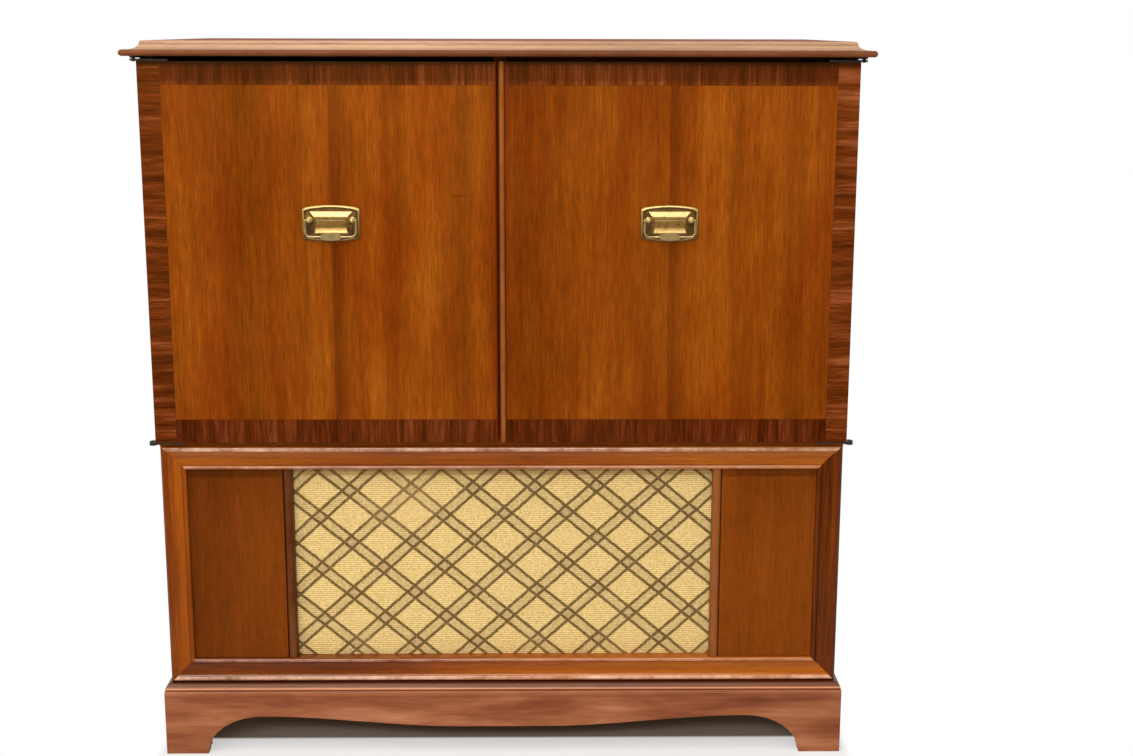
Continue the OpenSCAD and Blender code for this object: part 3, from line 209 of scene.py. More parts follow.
# Each figure: counts a metre across and along the grain, and how far each layer pulls the tone, clouds last
veneer = {
    "ribbon": (34, 1.3), "streak": (150, 7), "fine": (380, 42), "pulls": (0.4, 0.4, 0.5, 0.3),
    "base": 0.53, "waver": 0.02, "sweepPull": 1.0,
}
banding = {
    "ribbon": (85, 8), "streak": (300, 14), "fine": (700, 60), "pulls": (1.0, 1.1, 0.5, 0.5),
    "base": 0.54, "waver": 0.01, "sweepPull": 1.0,
}
solid = {
    "ribbon": (45, 1.5), "streak": (170, 6), "fine": (700, 25), "pulls": (0.5, 0.55, 0.35, 0.5),
    "base": 0.5, "waver": 0.01, "sweepPull": 1.0,
}
third = (0.0, 0.35, 0.6, 1.0)
later = (0.0, 0.4, 0.65, 1.0)
fieldPlaces = (0.0, 0.3, 0.52, 0.72, 1.0)
fieldTones = toneStops(fieldPlaces, (78, 32, 2), (108, 49, 3), (130, 61, 6), (148, 76, 12), (174, 102, 28))
redTones = toneStops(third, (72, 22, 2), (106, 40, 2), (128, 52, 4), (160, 78, 14))
bandTones = toneStops(third, (44, 12, 1), (78, 28, 4), (104, 43, 9), (148, 78, 42))
footAndShadowTones = toneStops(third, (40, 9, 1), (68, 21, 3), (90, 33, 7), (124, 60, 30))
panelTones = toneStops(later, (74, 30, 3), (112, 50, 8), (132, 63, 12), (158, 86, 26))
shadedTones = toneStops(later, (60, 23, 2), (92, 40, 6), (110, 51, 9), (134, 70, 20))
railTones = toneStops(third, (82, 30, 2), (136, 62, 5), (168, 86, 9), (204, 124, 26))
lowRailTones = toneStops(third, (60, 20, 3), (116, 49, 9), (150, 72, 9), (184, 100, 14))
stileTones = toneStops(third, (76, 27, 2), (126, 55, 3), (156, 75, 6), (190, 110, 18))
beadTones = toneStops(later, (60, 24, 4), (92, 42, 10), (110, 54, 16), (138, 76, 30))
noseTones = toneStops(third, (56, 22, 8), (86, 40, 17), (108, 56, 28), (136, 80, 46))
coveHighlightTones = toneStops(later, (128, 92, 68), (172, 132, 102), (192, 152, 120), (214, 178, 146))
baseTones = toneStops(third, (92, 40, 22), (134, 72, 44), (156, 92, 58), (190, 128, 94))
rawTones = toneStops((0.0, 0.5, 1.0), (150, 112, 72), (190, 152, 106), (214, 182, 138))
lacquer = {"specular": 0.3, "Specular Tint": (1.0, 0.5, 0.12, 1.0)}
dull = {**lacquer, "specular": 0.12, "Coat Weight": 0.15, "Coat Roughness": 0.4}
gloss = {**lacquer, "Coat Weight": 0.9, "Coat Roughness": 0.18, "Coat IOR": 1.65}


def woodTones(finish, grain, look, shift=0.0, sweep=None):
    # The tone of the figure, from 0 dark to 1 light, then the open pores and the slow clouds
    def fibres(across, length, offset=shift, **rest):
        scale = [across] * 3
        scale["xyz".index(grain)] = length
        return finish.noise(scale, shift=(offset, offset * 0.7, offset * 1.3), **rest)

    drift = finish.calc("SUBTRACT", fibres(5, 1.4, detail=1), 0.5)
    lean = finish.scaled(drift, look["waver"])
    moved = finish.add("VectorMath", {0: finish.place, 1: lean}, operation="ADD").outputs[0]
    ribbon = fibres(*look["ribbon"], vector=moved)
    streak = fibres(*look["streak"], vector=moved, detail=3, rough=0.6)
    cloud = fibres(7, 3, shift + 3)
    terms = list(zip((ribbon, streak, fibres(*look["fine"]), cloud), look["pulls"]))
    if sweep is not None:
        terms.append((sweep, look["sweepPull"]))
    pores = finish.step(fibres(1500, 40, detail=1), 0.6, 0.72)
    return finish.sum(terms, look["base"]), pores, cloud


def woodFinish(name, grain, tones, look=solid, shift=0.0, wearAndPaintedLight=None, shine=lacquer, sweep=None, upper=None,
               rough=(0.3, 0.42)):
    # sweep holds the tones at the left and right ends, upper a height and the painted-light tones above it
    made = Finish(name, **shine)
    x, _, z = made.spot()
    span = made.step(x, -450, 450, sweep) if sweep else None
    tone, pores, cloud = woodTones(made, grain, look, shift, span)
    colour = made.ramp(tone, tones)
    # painted light above the height: a highlight on the top's cove, a shadow at the top of the grille's side
    # panels
    if upper:
        height, paintedLightTonesAbove = upper
        colour = made.mix(made.step(z, height - 0.3, height + 0.3), colour, made.ramp(tone, paintedLightTonesAbove))
    colour = made.stain(colour, pores, 0.45, tint(48, 16, 4))
    if wearAndPaintedLight:  # colours the crests and darkens the hollows, mostly as painted light
        crest = made.add("Attribute", attribute_name="crest").outputs["Fac"]
        patchy = made.step(made.noise(22, detail=4, rough=0.7), 0.2, 0.75)
        # painted highlight: pale on the crests, patchy like rubbed wear; on the stiles the crest colour is
        # dark, a painted shade
        rubAndHighlight = made.scaled(made.step(crest, 0.55, 1.0), patchy)
        colour = made.stain(colour, rubAndHighlight, wearAndPaintedLight["pull"], wearAndPaintedLight["colour"])
        # painted shade, with some dirt: darker in the hollows and on the flanks of the beads
        colour = made.stain(colour, made.step(crest, 0.3, 0.0), wearAndPaintedLight["dirtAndShadePull"], wearAndPaintedLight["dirtAndShade"])
    made.polish(colour, pores, cloud, rough)


# Heights and distances from the middle, in millimetres
doorFace = {
    "crossband": 450.0, "topBand": 957.5, "lowBand": 501.5, "jointWidth": 0.5,
    "top": 988.5, "meeting": -5.0, "seamWidth": 0.9, "seamShade": 20.0,
}


def doorFinish(name, leafTones, seam, shift, scorch=None, d=doorFace):
    # Two ribbon-striped leaves that meet at a seam, framed by darker cross-grained bands
    made = Finish(name, **lacquer)
    x, _, z = made.spot()
    wide = made.calc("ABSOLUTE", x)
    sway = made.calc("SUBTRACT", made.noise((4, 4, 1.2), shift=(shift, 0, shift)), 0.5)
    first, last = leafTones[0][0], leafTones[-1][0]
    swayed = {"Value": made.scaled(sway, 30, x), "From Min": first, "From Max": last}
    stops = [((place - first) / (last - first), (tone, tone, tone, 1.0)) for place, tone in leafTones]
    sweep = made.ramp(made.add("MapRange", swayed).outputs[0], stops, "EASE")
    tone, pores, cloud = woodTones(made, "z", {**veneer, "sweepPull": 0.5}, shift, sweep)
    mottle = made.noise((34, 34, 15), detail=3, rough=0.6, shift=(shift, 4, 0))
    tone = made.scaled(mottle, 0.28, made.calc("SUBTRACT", tone, 0.14))
    rusty = made.step(made.noise((14, 14, 3.5), detail=4, rough=0.6, shift=(shift + 5, 0, 2)), 0.36, 0.7)
    rusty = made.most(rusty, made.step(wide, 18, 10))
    colour = made.mix(rusty, made.ramp(tone, fieldTones), made.ramp(tone, redTones))
    seamLine = made.step(made.gap(x, seam), 0.0, d["seamWidth"], (0.6, 0.0))
    seamShade = made.step(made.calc("SUBTRACT", x, seam), d["seamShade"], 0.0, (0.0, 0.4))
    seamShade = made.scaled(seamShade, made.step(x, seam - 0.4, seam + 0.4))
    colour = made.mix(made.most(seamLine, seamShade), colour, tint(84, 26, 3))
    if scorch:
        away = made.stretch(scorch["scale"], scorch["shift"])
        blot = made.add("VectorMath", {0: away}, operation="LENGTH").outputs["Value"]
        blot = made.scaled(made.calc("SUBTRACT", mottle, 0.5), 1.2, blot)
        colour = made.mix(made.step(blot, 1.0, 0.2, (0.0, 0.5)), colour, tint(78, 30, 2))
    upTone, upPores, _ = woodTones(made, "z", banding, shift + 11)
    sideTone, sidePores, _ = woodTones(made, "x", banding, shift + 17)
    onSide = made.calc("GREATER_THAN", wide, d["crossband"])
    atFoot = made.calc("LESS_THAN", z, d["lowBand"])
    onEnds = made.most(made.calc("GREATER_THAN", z, d["topBand"]), atFoot)
    # painted shadow: the top band is dark except its lowest few millimetres, as if cast by the top's
    # overhang; the lower band is darker veneer
    dark = made.most(made.step(z, d["topBand"] + 2, d["topBand"] + 8), atFoot)
    ends = made.mix(dark, made.ramp(upTone, bandTones), made.ramp(upTone, footAndShadowTones))
    colour = made.mix(onEnds, colour, ends)
    sideTone = made.scaled(made.calc("SIGN", x), 0.07, sideTone)
    colour = made.mix(onSide, colour, made.ramp(sideTone, bandTones))
    # painted shadow: the last millimetres under the door's top edge go nearly black, as under the top's lip
    colour = made.mix(made.step(z, d["top"] - 8.5, d["top"] - 1, (0.0, 0.85)), colour, tint(20, 4, 1))
    # painted shade: a dark maroon strip along the left door's meeting edge, for the shadowed gap between the
    # doors
    edge = made.step(x, d["meeting"] - 3.6, d["meeting"] - 1.8, (0.0, 0.85))
    colour = made.stain(colour, edge, made.calc("LESS_THAN", x, 0.0), tint(96, 26, 6))
    joint = made.calc("MINIMUM", made.gap(z, d["topBand"]), made.gap(z, d["lowBand"]))
    joint = made.calc("MINIMUM", made.calc("ADD", joint, onSide), made.gap(wide, d["crossband"]))
    colour = made.mix(made.step(joint, 0.0, d["jointWidth"], (0.5, 0.0)), colour, tint(50, 16, 4))
    allPores = made.mix(onSide, made.mix(onEnds, pores, upPores), sidePores)
    made.polish(made.stain(colour, allPores, 0.4, tint(56, 20, 3)), allPores, cloud)


# Tones across each door, in millimetres from the middle: dark near 0, light near 1
leftLeaves = [
    (-480, 0.34), (-430, 0.46), (-370, 0.38), (-342, 0.16), (-322, 0.44), (-285, 0.48), (-240, 0.56),
    (-229, 0.48), (-222, 0.2), (-200, 0.5), (-172, 0.78), (-150, 0.46), (-110, 0.68), (-75, 0.6),
    (-52, 0.28), (-30, 0.54), (-5, 0.38),
]
rightLeaves = [
    (7, 0.36), (60, 0.24), (100, 0.4), (127, 0.62), (160, 0.52), (205, 0.38), (226, 0.42), (231, 0.18),
    (256, 0.44), (280, 0.72), (294, 0.76), (318, 0.38), (345, 0.6), (375, 0.66), (392, 0.34), (420, 0.54),
    (450, 0.48), (480, 0.5),
]
scorchMark = {"scale": (50, 0.0, 400), "shift": (2.7, 0, -324.4)}  # a faint mark right of the left pull
doorFinish("leftDoorVeneer", leftLeaves, -228.4, 0.0, scorchMark)
doorFinish("rightDoorVeneer", rightLeaves, 228.4, 7.0)

# Crests and hollows: the colour laid on the crests, the darkening in the hollows, and how strong each is
# Pale crests are painted highlights, patchy like rubbed wear; dark stile crests are painted shade; dark
# hollows are painted shade and dirt
mouldHighlightAndShade = {"pull": 0.9, "colour": tint(252, 204, 172), "dirtAndShadePull": 0.8, "dirtAndShade": tint(50, 16, 4)}
topEdgeWearAndShade = {"pull": 0.1, "colour": tint(190, 130, 90), "dirtAndShadePull": 0.8, "dirtAndShade": tint(46, 16, 8)}
meetingBeadLightAndShade = {"pull": 0.75, "colour": tint(150, 92, 46), "dirtAndShadePull": 0.7, "dirtAndShade": tint(70, 22, 4)}
beadHighlightAndShade = {**mouldHighlightAndShade, "pull": 0.1, "colour": tint(216, 152, 112)}
stileRollShade = {**mouldHighlightAndShade, "pull": 0.5, "colour": tint(82, 34, 12)}
moulding = {**solid, "sweepPull": 0.6}
railShine = {**gloss, "Coat Weight": 0.55}
stileShine = {**gloss, "Coat Weight": 0.25}
panel = {"look": {**veneer, "pulls": (0.25, 0.25, 0.35, 0.9)}, "shift": 40, "sweep": (0.26, 0.58)}
topLightAndWear = {"wearAndPaintedLight": topEdgeWearAndShade, "shine": dull, "upper": (1003.3, coveHighlightTones)}
woodFinish("topMouldingX", "x", noseTones, shift=20, **topLightAndWear)
woodFinish("topMouldingY", "y", noseTones, shift=21, **topLightAndWear)
woodFinish("topVeneer", "x", panelTones, veneer, 24, shine=dull, rough=(0.6, 0.75))
woodFinish("frameRail", "x", railTones, solid, 30, mouldHighlightAndShade, gloss)
woodFinish("frameLowRail", "x", lowRailTones, moulding, 33, mouldHighlightAndShade, railShine, (0.1, 1.0))
woodFinish("frameStile", "z", stileTones, moulding, 31, stileRollShade, stileShine, (0.48, -0.06))
woodFinish("panelVeneer", "z", panelTones, upper=(411.5, shadedTones), **panel)
woodFinish("doorBackVeneer", "z", panelTones, **panel)
woodFinish("sideVeneer", "z", fieldTones, veneer, 44)
woodFinish("beadWood", "z", beadTones, solid, 48, beadHighlightAndShade, sweep=(0.2, 1.0))
woodFinish("meetingBeadWood", "z", panelTones, solid, 49, meetingBeadLightAndShade, dull)
woodFinish("shelfVeneer", "x", panelTones, veneer, 50)

# Lines along the base's moulding: height, reach, strength and colour of painted shade and highlights
# Dark under the frame and on the cove is painted shade, pale lines are painted highlights on the arrises,
# lower dark lines follow the grooves
baseLightAndShadeLines = [
    (106.0, 5.5, 0.95, (64, 20, 6)), (102.6, 4.2, 0.8, (80, 34, 16)), (99.0, 1.7, 0.75, (232, 160, 122)),
    (96.2, 2.2, 0.9, (92, 38, 18)), (92.8, 1.6, 0.35, (196, 124, 80)), (87.0, 3.0, 0.3, (110, 52, 28)),
]


def baseFinish(name, grain, shift):
    # Old lacquer worn in slanting clouds, with small pale chips
    made = Finish(name, **{**gloss, "Coat Weight": 0.3, "Coat Roughness": 0.25})
    tone, pores, cloud = woodTones(made, grain, {**solid, "pulls": (0.35, 0.4, 0.25, 0.5)}, shift)
    smudge = made.noise((6, 6, 30), detail=3, rough=0.6, bend=0.4, turn=(0, 0.45, 0))
    tone = made.scaled(smudge, 1.45, made.calc("SUBTRACT", tone, 0.7))
    colour = made.stain(made.ramp(tone, baseTones), pores, 0.3, tint(70, 30, 16))
    chips = made.step(made.noise((70, 70, 110)), 0.77, 0.8)
    colour = made.stain(colour, chips, 0.7, tint(214, 170, 120))
    z = made.spot()[2]
    # painted shade and highlights along the moulding
    for height, reach, share, shade in baseLightAndShadeLines:
        colour = made.mix(made.step(made.gap(z, height), 0.0, reach, (share, 0.0)), colour, tint(*shade))
    made.polish(colour, pores, cloud, (0.42, 0.6))


def plainWood(name, grain, shift):
    made = Finish(name, 0.25)
    tone, pores, cloud = woodTones(made, grain, {**solid, "pulls": (0.6, 0.55, 0.35, 0.5)}, shift)
    colour = made.stain(made.ramp(tone, rawTones), pores, 0.25, tint(110, 78, 46))
    made.polish(colour, pores, cloud, (0.6, 0.75))


baseFinish("baseWoodX", "x", 60)
baseFinish("baseWoodY", "y", 64)
plainWood("bareWoodX", "x", 80)
plainWood("bareWoodZ", "z", 82)

# The plaid: each slanting pair of lines repeats over so many millimetres across and up, from a phase. In
# shares of that repeat, band is how far a line lies from its pair's middle, and line its half width
plaid = {
    "pairs": [(89.8, 75.4, 0.285), (85.9, -77.9, 0.521)],
    "cream": [(192, 158, 92), (229, 199, 132), (248, 222, 158)],
    "bands": [(164, 136, 84), (208, 180, 122), (234, 208, 152)],
    "crossing": [(142, 118, 74), (188, 162, 114), (218, 194, 148)],
    "band": 0.125, "line": (0.022, 0.05), "ribGap": 2.9, "warpGap": 1.4, "shadedFrom": 409,
}


def plaidCloth(p):
    # Double dark lines that cross on the slant, woven over fine horizontal ribs
    made = Finish("grilleCloth", 0.1, **{"Sheen Weight": 0.04})
    x, _, z = made.spot()
    slub = made.noise((260, 1, 900), detail=1)
    wander = made.scaled(made.calc("SUBTRACT", made.noise(110), 0.5), 0.04)
    inside, lines = [], []
    for wide, tall, phase in p["pairs"]:
        turns = made.scaled(x, 1 / wide, phase + 0.5)
        turns = made.scaled(z, 1 / tall, turns)
        gap = made.gap(made.calc("FRACT", made.calc("ADD", turns, wander)), 0.5)
        inside.append(made.step(gap, p["band"] - 0.005, p["band"] + 0.005, (1.0, 0.0)))
        lines.append(made.step(made.gap(gap, p["band"]), *p["line"], (1.0, 0.0)))
    ribs = made.calc("SINE", made.scaled(z, 2 * math.pi / p["ribGap"]))
    warp = made.calc("SINE", made.scaled(x, 2 * math.pi / p["warpGap"]))
    weave = made.scaled(made.scaled(ribs, warp), 0.25, ribs)
    tufts = made.noise((330, 330, 420), rough=0.6)
    yarn = made.sum([(slub, 0.6), (tufts, 1.0)])
    cream, bands, crossing = [made.ramp(yarn, toneStops((0.2, 0.5, 0.8), *p[part]))
                              for part in ("cream", "bands", "crossing")]
    colour = made.mix(made.most(*inside), cream, bands)
    colour = made.mix(made.scaled(*inside), colour, crossing)
    colour = made.mix(made.step(ribs, -0.1, -1.0, (0.0, 0.7)), colour, tint(172, 132, 66))
    frayed = made.step(made.noise((500, 1, 420), detail=1), 0.3, 0.5, (0.7, 1.0))
    dark = made.scaled(made.most(*lines), frayed)
    colour = made.stain(colour, dark, 0.9, tint(82, 54, 2))
    shaded = made.step(z, p["shadedFrom"], p["shadedFrom"] + 3, (0.0, 0.45))
    colour = made.mix(shaded, colour, tint(110, 66, 10))
    colour = made.mix(made.step(made.noise(5), 0.5, 0.8, (0.0, 0.3)), colour, tint(222, 184, 120))
    height = made.scaled(tufts, 1.5, weave)
    made.paint(colour, made.step(slub, 0.2, 0.8, (0.72, 0.9)), height, 0.16, 0.7)


def metalFinish(name, bright, tarnish, rough, metallic=1.0, pull=0.6, spots=24, brushed=False):
    made = Finish(name, Metallic=metallic)
    cloud = made.noise(spots, detail=4, rough=0.65)
    colour = made.mix(made.step(cloud, 0.45, 0.75, (0.0, pull)), tint(*bright), tint(*tarnish))
    if brushed:  # along x
        cloud = made.noise((30, 2600, 2600))
    grit = made.sum([(made.noise(1400, detail=1), 1.0)])
    made.paint(colour, made.step(cloud, 0.25, 0.75, rough), grit, 0.02, 0.35)


def agedBrass():
    # Dark patina in hollows; each point's crest sets the tone: rubbed brass and painted highlights where it
    # faces the light
    made = Finish("agedBrass", Metallic=0.5)
    cloud = made.noise(160, detail=4, rough=0.65)
    crest = made.add("Attribute", attribute_name="crest").outputs["Fac"]
    brassRubAndHighlight = made.scaled(cloud, 0.5, made.calc("SUBTRACT", crest, 0.25))
    stops = toneStops((0.0, 0.3, 0.6, 0.95), (70, 48, 18), (134, 98, 42), (176, 136, 66), (206, 178, 112))
    rust = made.step(made.noise(420, shift=(3, 0, 0)), 0.6, 0.7, (0.0, 0.6))
    colour = made.mix(rust, made.ramp(brassRubAndHighlight, stops), tint(134, 74, 28))
    made.paint(colour, made.step(cloud, 0.25, 0.75, (0.26, 0.4)), cloud, 0.05, 0.3)


def fibreBoard():
    made = Finish("pressedBoard", 0.2)
    fleck = made.noise(420, detail=3, rough=0.7)
    cloud = made.noise(6, detail=3, shift=(3, 0, 0))
    stops = toneStops((0.0, 0.5, 1.0), (84, 58, 38), (118, 86, 58), (152, 118, 84))
    colour = made.ramp(made.sum([(fleck, 0.8), (cloud, 0.7)]), stops)
    made.paint(colour, made.step(cloud, 0.3, 0.7, (0.62, 0.8)), fleck, 0.15, 0.5)


def crackleEnamel():
    made = Finish("crackleEnamel")
    wrinkle = made.add("TexVoronoi", {"Vector": made.place, "Scale": 620.0}, feature="SMOOTH_F1").outputs[0]
    cloud = made.noise(12, detail=3)
    stops = toneStops((0.0, 0.5, 1.0), (92, 68, 46), (132, 102, 72), (160, 128, 92))
    colour = made.ramp(made.sum([(wrinkle, 0.5), (cloud, 0.4)]), stops)
    made.paint(colour, made.step(cloud, 0.3, 0.7, (0.4, 0.55)), wrinkle, 0.25, 0.7)


def flock(name, light, dark, scale=1800.0):
    made = Finish(name, 0.1, **{"Sheen Weight": 0.4})
    nap = made.noise(scale)
    cloud = made.noise(14, detail=3)
    colour = made.ramp(made.sum([(nap, 0.6), (cloud, 0.6)]), toneStops((0.1, 0.9), dark, light))
    made.paint(colour, made.step(nap, 0.2, 0.8, (0.85, 1.0)), nap, 0.3, 0.8)


def bakelite():
    # Phenolic moulding: faint swirls in a dark body
    made = Finish("brownBakelite", **{"Coat Weight": 0.3, "Coat Roughness": 0.15})
    swirl = made.noise((60, 60, 22), detail=3, bend=1.2)
    colour = made.ramp(swirl, toneStops((0.3, 0.55, 0.8), (54, 26, 16), (70, 35, 21), (54, 26, 16)))
    made.paint(colour, made.step(swirl, 0.3, 0.7, (0.18, 0.32)), made.noise(900, detail=1), 0.02, 0.4)


def clearGlass(name, colour, bend=1.45, coat=0.0):
    made = Finish(name, IOR=bend, **{"Transmission Weight": 1.0, "Coat Weight": coat})
    smear = made.noise(40, detail=3)
    colour = made.mix(made.step(smear, 0.5, 0.8, (0.0, 0.4)), tint(*colour), tint(226, 228, 220))
    made.paint(colour, made.step(smear, 0.45, 0.8, (0.02, 0.08)))


def paperFinish(name, light, dark, rough=(0.75, 0.9)):
    made = Finish(name, 0.2)
    fibre = made.noise(380, detail=4, rough=0.7)
    cloud = made.noise(9, detail=3)
    colour = made.ramp(made.sum([(fibre, 0.5), (cloud, 0.8)]), toneStops((0.1, 0.9), dark, light))
    made.paint(colour, made.step(fibre, 0.3, 0.7, rough), fibre, 0.08, 0.5)


plaidCloth(plaid)
agedBrass()
fibreBoard()
crackleEnamel()
bakelite()
metalFinish("brass", (176, 150, 98), (112, 90, 52), (0.24, 0.38), 0.5, 0.6, 90)
metalFinish("darkSteel", (74, 68, 60), (44, 38, 32), (0.38, 0.55), 0.6, 0.6, 60)
metalFinish("brightPlating", (206, 206, 202), (150, 148, 142), (0.12, 0.25), 1.0, 0.4, 30)
metalFinish("zincPlate", (186, 184, 172), (138, 134, 120), (0.34, 0.5), 1.0, 0.7, brushed=True)
metalFinish("greyEnamel", (92, 95, 100), (72, 74, 76), (0.35, 0.5), 0.0, 0.8)
metalFinish("blackEnamel", (34, 34, 36), (56, 52, 48), (0.3, 0.5), 0.0, 0.7)
metalFinish("pointerRed", (180, 34, 22), (140, 24, 18), (0.35, 0.5), 0.0)
metalFinish("bezelBrass", (190, 152, 84), (150, 116, 60), (0.22, 0.34), 0.8, 0.5)
metalFinish("screwSteel", (132, 126, 116), (92, 84, 74), (0.35, 0.55), spots=200)
metalFinish("maroonEnamel", (98, 34, 24), (74, 26, 20), (0.25, 0.4), 0.0)
flock("flockedMat", (112, 44, 34), (66, 24, 18))
flock("blackRubber", (48, 47, 46), (28, 28, 28), 700.0)
clearGlass("dialGlass", (246, 250, 248))
clearGlass("bulbGlass", (240, 244, 244), 1.04, 1.0)
paperFinish("dialCard", (240, 222, 170), (214, 190, 132))
paperFinish("dialInk", (84, 48, 26), (56, 30, 16))
paperFinish("micaSheet", (206, 200, 186), (170, 160, 142), (0.3, 0.5))
paperFinish("conePaper", (70, 64, 60), (42, 38, 36))
paperFinish("creamPaint", (236, 226, 200), (214, 200, 168), (0.4, 0.55))
print("finishes made:", len(finishes))


class Shape:  # gathers the faces of one piece, in millimetres; crest sets the painted highlight and shade at each point, with some wear
    def __init__(self):
        self.work = bmesh.new()
        self.crest = self.work.verts.layers.float.new("crest")

    def point(self, place, crest=0.5):
        made = self.work.verts.new(Vector(place) * mm)
        made[self.crest] = crest
        return made

    def face(self, corners, finish=0):
        corners = list(dict.fromkeys(corners))  # each corner once
        if len(corners) > 2:
            made = self.work.faces.new(corners)
            made.material_index = finish
            made.smooth = True

    def flat(self, places, finish=0):
        self.face([self.point(place) for place in places], finish)

    def grid(self, rows, finish=0, ringed=False):
        # Quads between rows of points: ringed joins each row's ends, and a row may be a single point
        for near, far in zip(rows, rows[1:]):
            count = max(len(near), len(far))
            for j in range(count if ringed else count - 1):
                k = j + 1
                ring = (near[j % len(near)], near[k % len(near)], far[k % len(far)], far[j % len(far)])
                self.face(ring, finish)

    def block(self, low, high, finish=0):
        (x0, y0, z0), (x1, y1, z1) = low, high
        ring = ((x0, y0), (x1, y0), (x1, y1), (x0, y1))
        lower, upper = [[self.point((x, y, z)) for x, y in ring] for z in (z0, z1)]
        self.grid([lower, upper], finish, ringed=True)
        self.face(lower[::-1], finish)
        self.face(upper, finish)

    def turned(self, profile, centre, axis="z", steps=48, finish=0, flutes=None, crest=0.5):
        # A lathe profile of (radius, height) pairs, turned about an axis through centre
        rows = []
        for radius, height in profile:
            row = []
            for i in range(steps if radius > 0 else 1):
                angle = 2 * math.pi * i / steps
                r = radius * (flutes(angle, radius, height) if flutes else 1.0)
                a, b = r * math.cos(angle), r * math.sin(angle)
                offset = (a, b, height) if axis == "z" else (a, height, b)
                row.append(self.point(Vector(centre) + Vector(offset), crest))
            rows.append(row)
        self.grid(rows, finish, ringed=True)

    def mould(self, section, start, end, inward, outward, mitres=(1, 1), finish=0, steps=1, caps=(1, 1)):
        # A moulding: section holds (in from the edge, out from the board, crest), run from start to end
        start, inward, outward = Vector(start), Vector(inward), Vector(outward)
        run = Vector(end) - start
        length = run.length
        run.normalize()
        rows = []
        for i in range(steps + 1):
            row = []
            for across, out, crest in section:
                first, last = across * mitres[0], length - across * mitres[1]
                place = start + run * (first + (last - first) * i / steps)
                row.append(self.point(place + inward * across + outward * out, crest))
            rows.append(row)
        self.grid(rows, finish)
        if caps[0]:
            self.face(rows[0], finish)
        if caps[1]:
            self.face(rows[-1][::-1], finish)

    def mesh(self, name):
        made = bpy.data.meshes.new(name)
        self.work.to_mesh(made)
        self.work.free()
        return made

    def build(self, name, looks, *stands, sharp=32, **rides):
        bmesh.ops.remove_doubles(self.work, verts=self.work.verts, dist=0.000004)
        bmesh.ops.recalc_face_normals(self.work, faces=self.work.faces)
        made = self.mesh(name)
        made.set_sharp_from_angle(angle=math.radians(sharp))
        return ride(name, made, looks, *stands, **rides)


def ride(name, mesh, looks, *stands, body=None, slot=None):
    # A piece that stands for a CAD solid takes that solid's body
    made = linked(name, mesh)
    for look in looks:
        mesh.materials.append(finishes[look])
    for node in stands:
        body, slot = nodes[node]["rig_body"], nodes[node].data.materials[0].name
    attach(made, body)
    if stands:
        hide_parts(*stands)
    return made


def ease(made, width, segments=2):
    bevel = made.modifiers.new("easedEdges", "BEVEL")
    bevel.width = width * mm
    bevel.segments = segments
    bevel.limit_method = "ANGLE"
    bevel.angle_limit = math.radians(32)
    made.modifiers.new("evenShading", "WEIGHTED_NORMAL").keep_sharp = True


def easedCopy(node, look, width):
    # A copy of a CAD solid with its flat faces joined up and its edges eased
    shape = Shape()
    shape.work.from_mesh(nodes[node].data)
    bmesh.ops.remove_doubles(shape.work, verts=shape.work.verts, dist=0.00001)
    bmesh.ops.dissolve_limit(shape.work, angle_limit=math.radians(0.6), verts=shape.work.verts,
                             edges=shape.work.edges)
    for face in shape.work.faces:
        face.smooth = True
        face.material_index = 0
    mesh = shape.mesh(node)
    for stray in {"custom_normal", "sharp_edge", "sharp_face"} & {a.name for a in mesh.attributes}:
        mesh.attributes.remove(mesh.attributes[stray])
    made = ride(node + ".made", mesh, [look], node)
    if width:
        ease(made, width, 3 if width > 1.3 else 2)
    else:
        mesh.set_sharp_from_angle(angle=math.radians(32))


def arc(cx, cy, r, first, last, steps):
    angles = [math.radians(first + (last - first) * i / steps) for i in range(steps + 1)]
    return [(cx + r * math.cos(a), cy + r * math.sin(a)) for a in angles]


# The top: its edge runs round the front and both ends
top = {
    "halfWidth": 498.0, "front": -235.0, "back": 235.0, "under": 994.9, "face": 1014.9,
    "noseRadius": 4.3, "coveFoot": 7.5, "coveHead": 22.7, "edgeRound": 3.0, "quirk": 0.7,
}


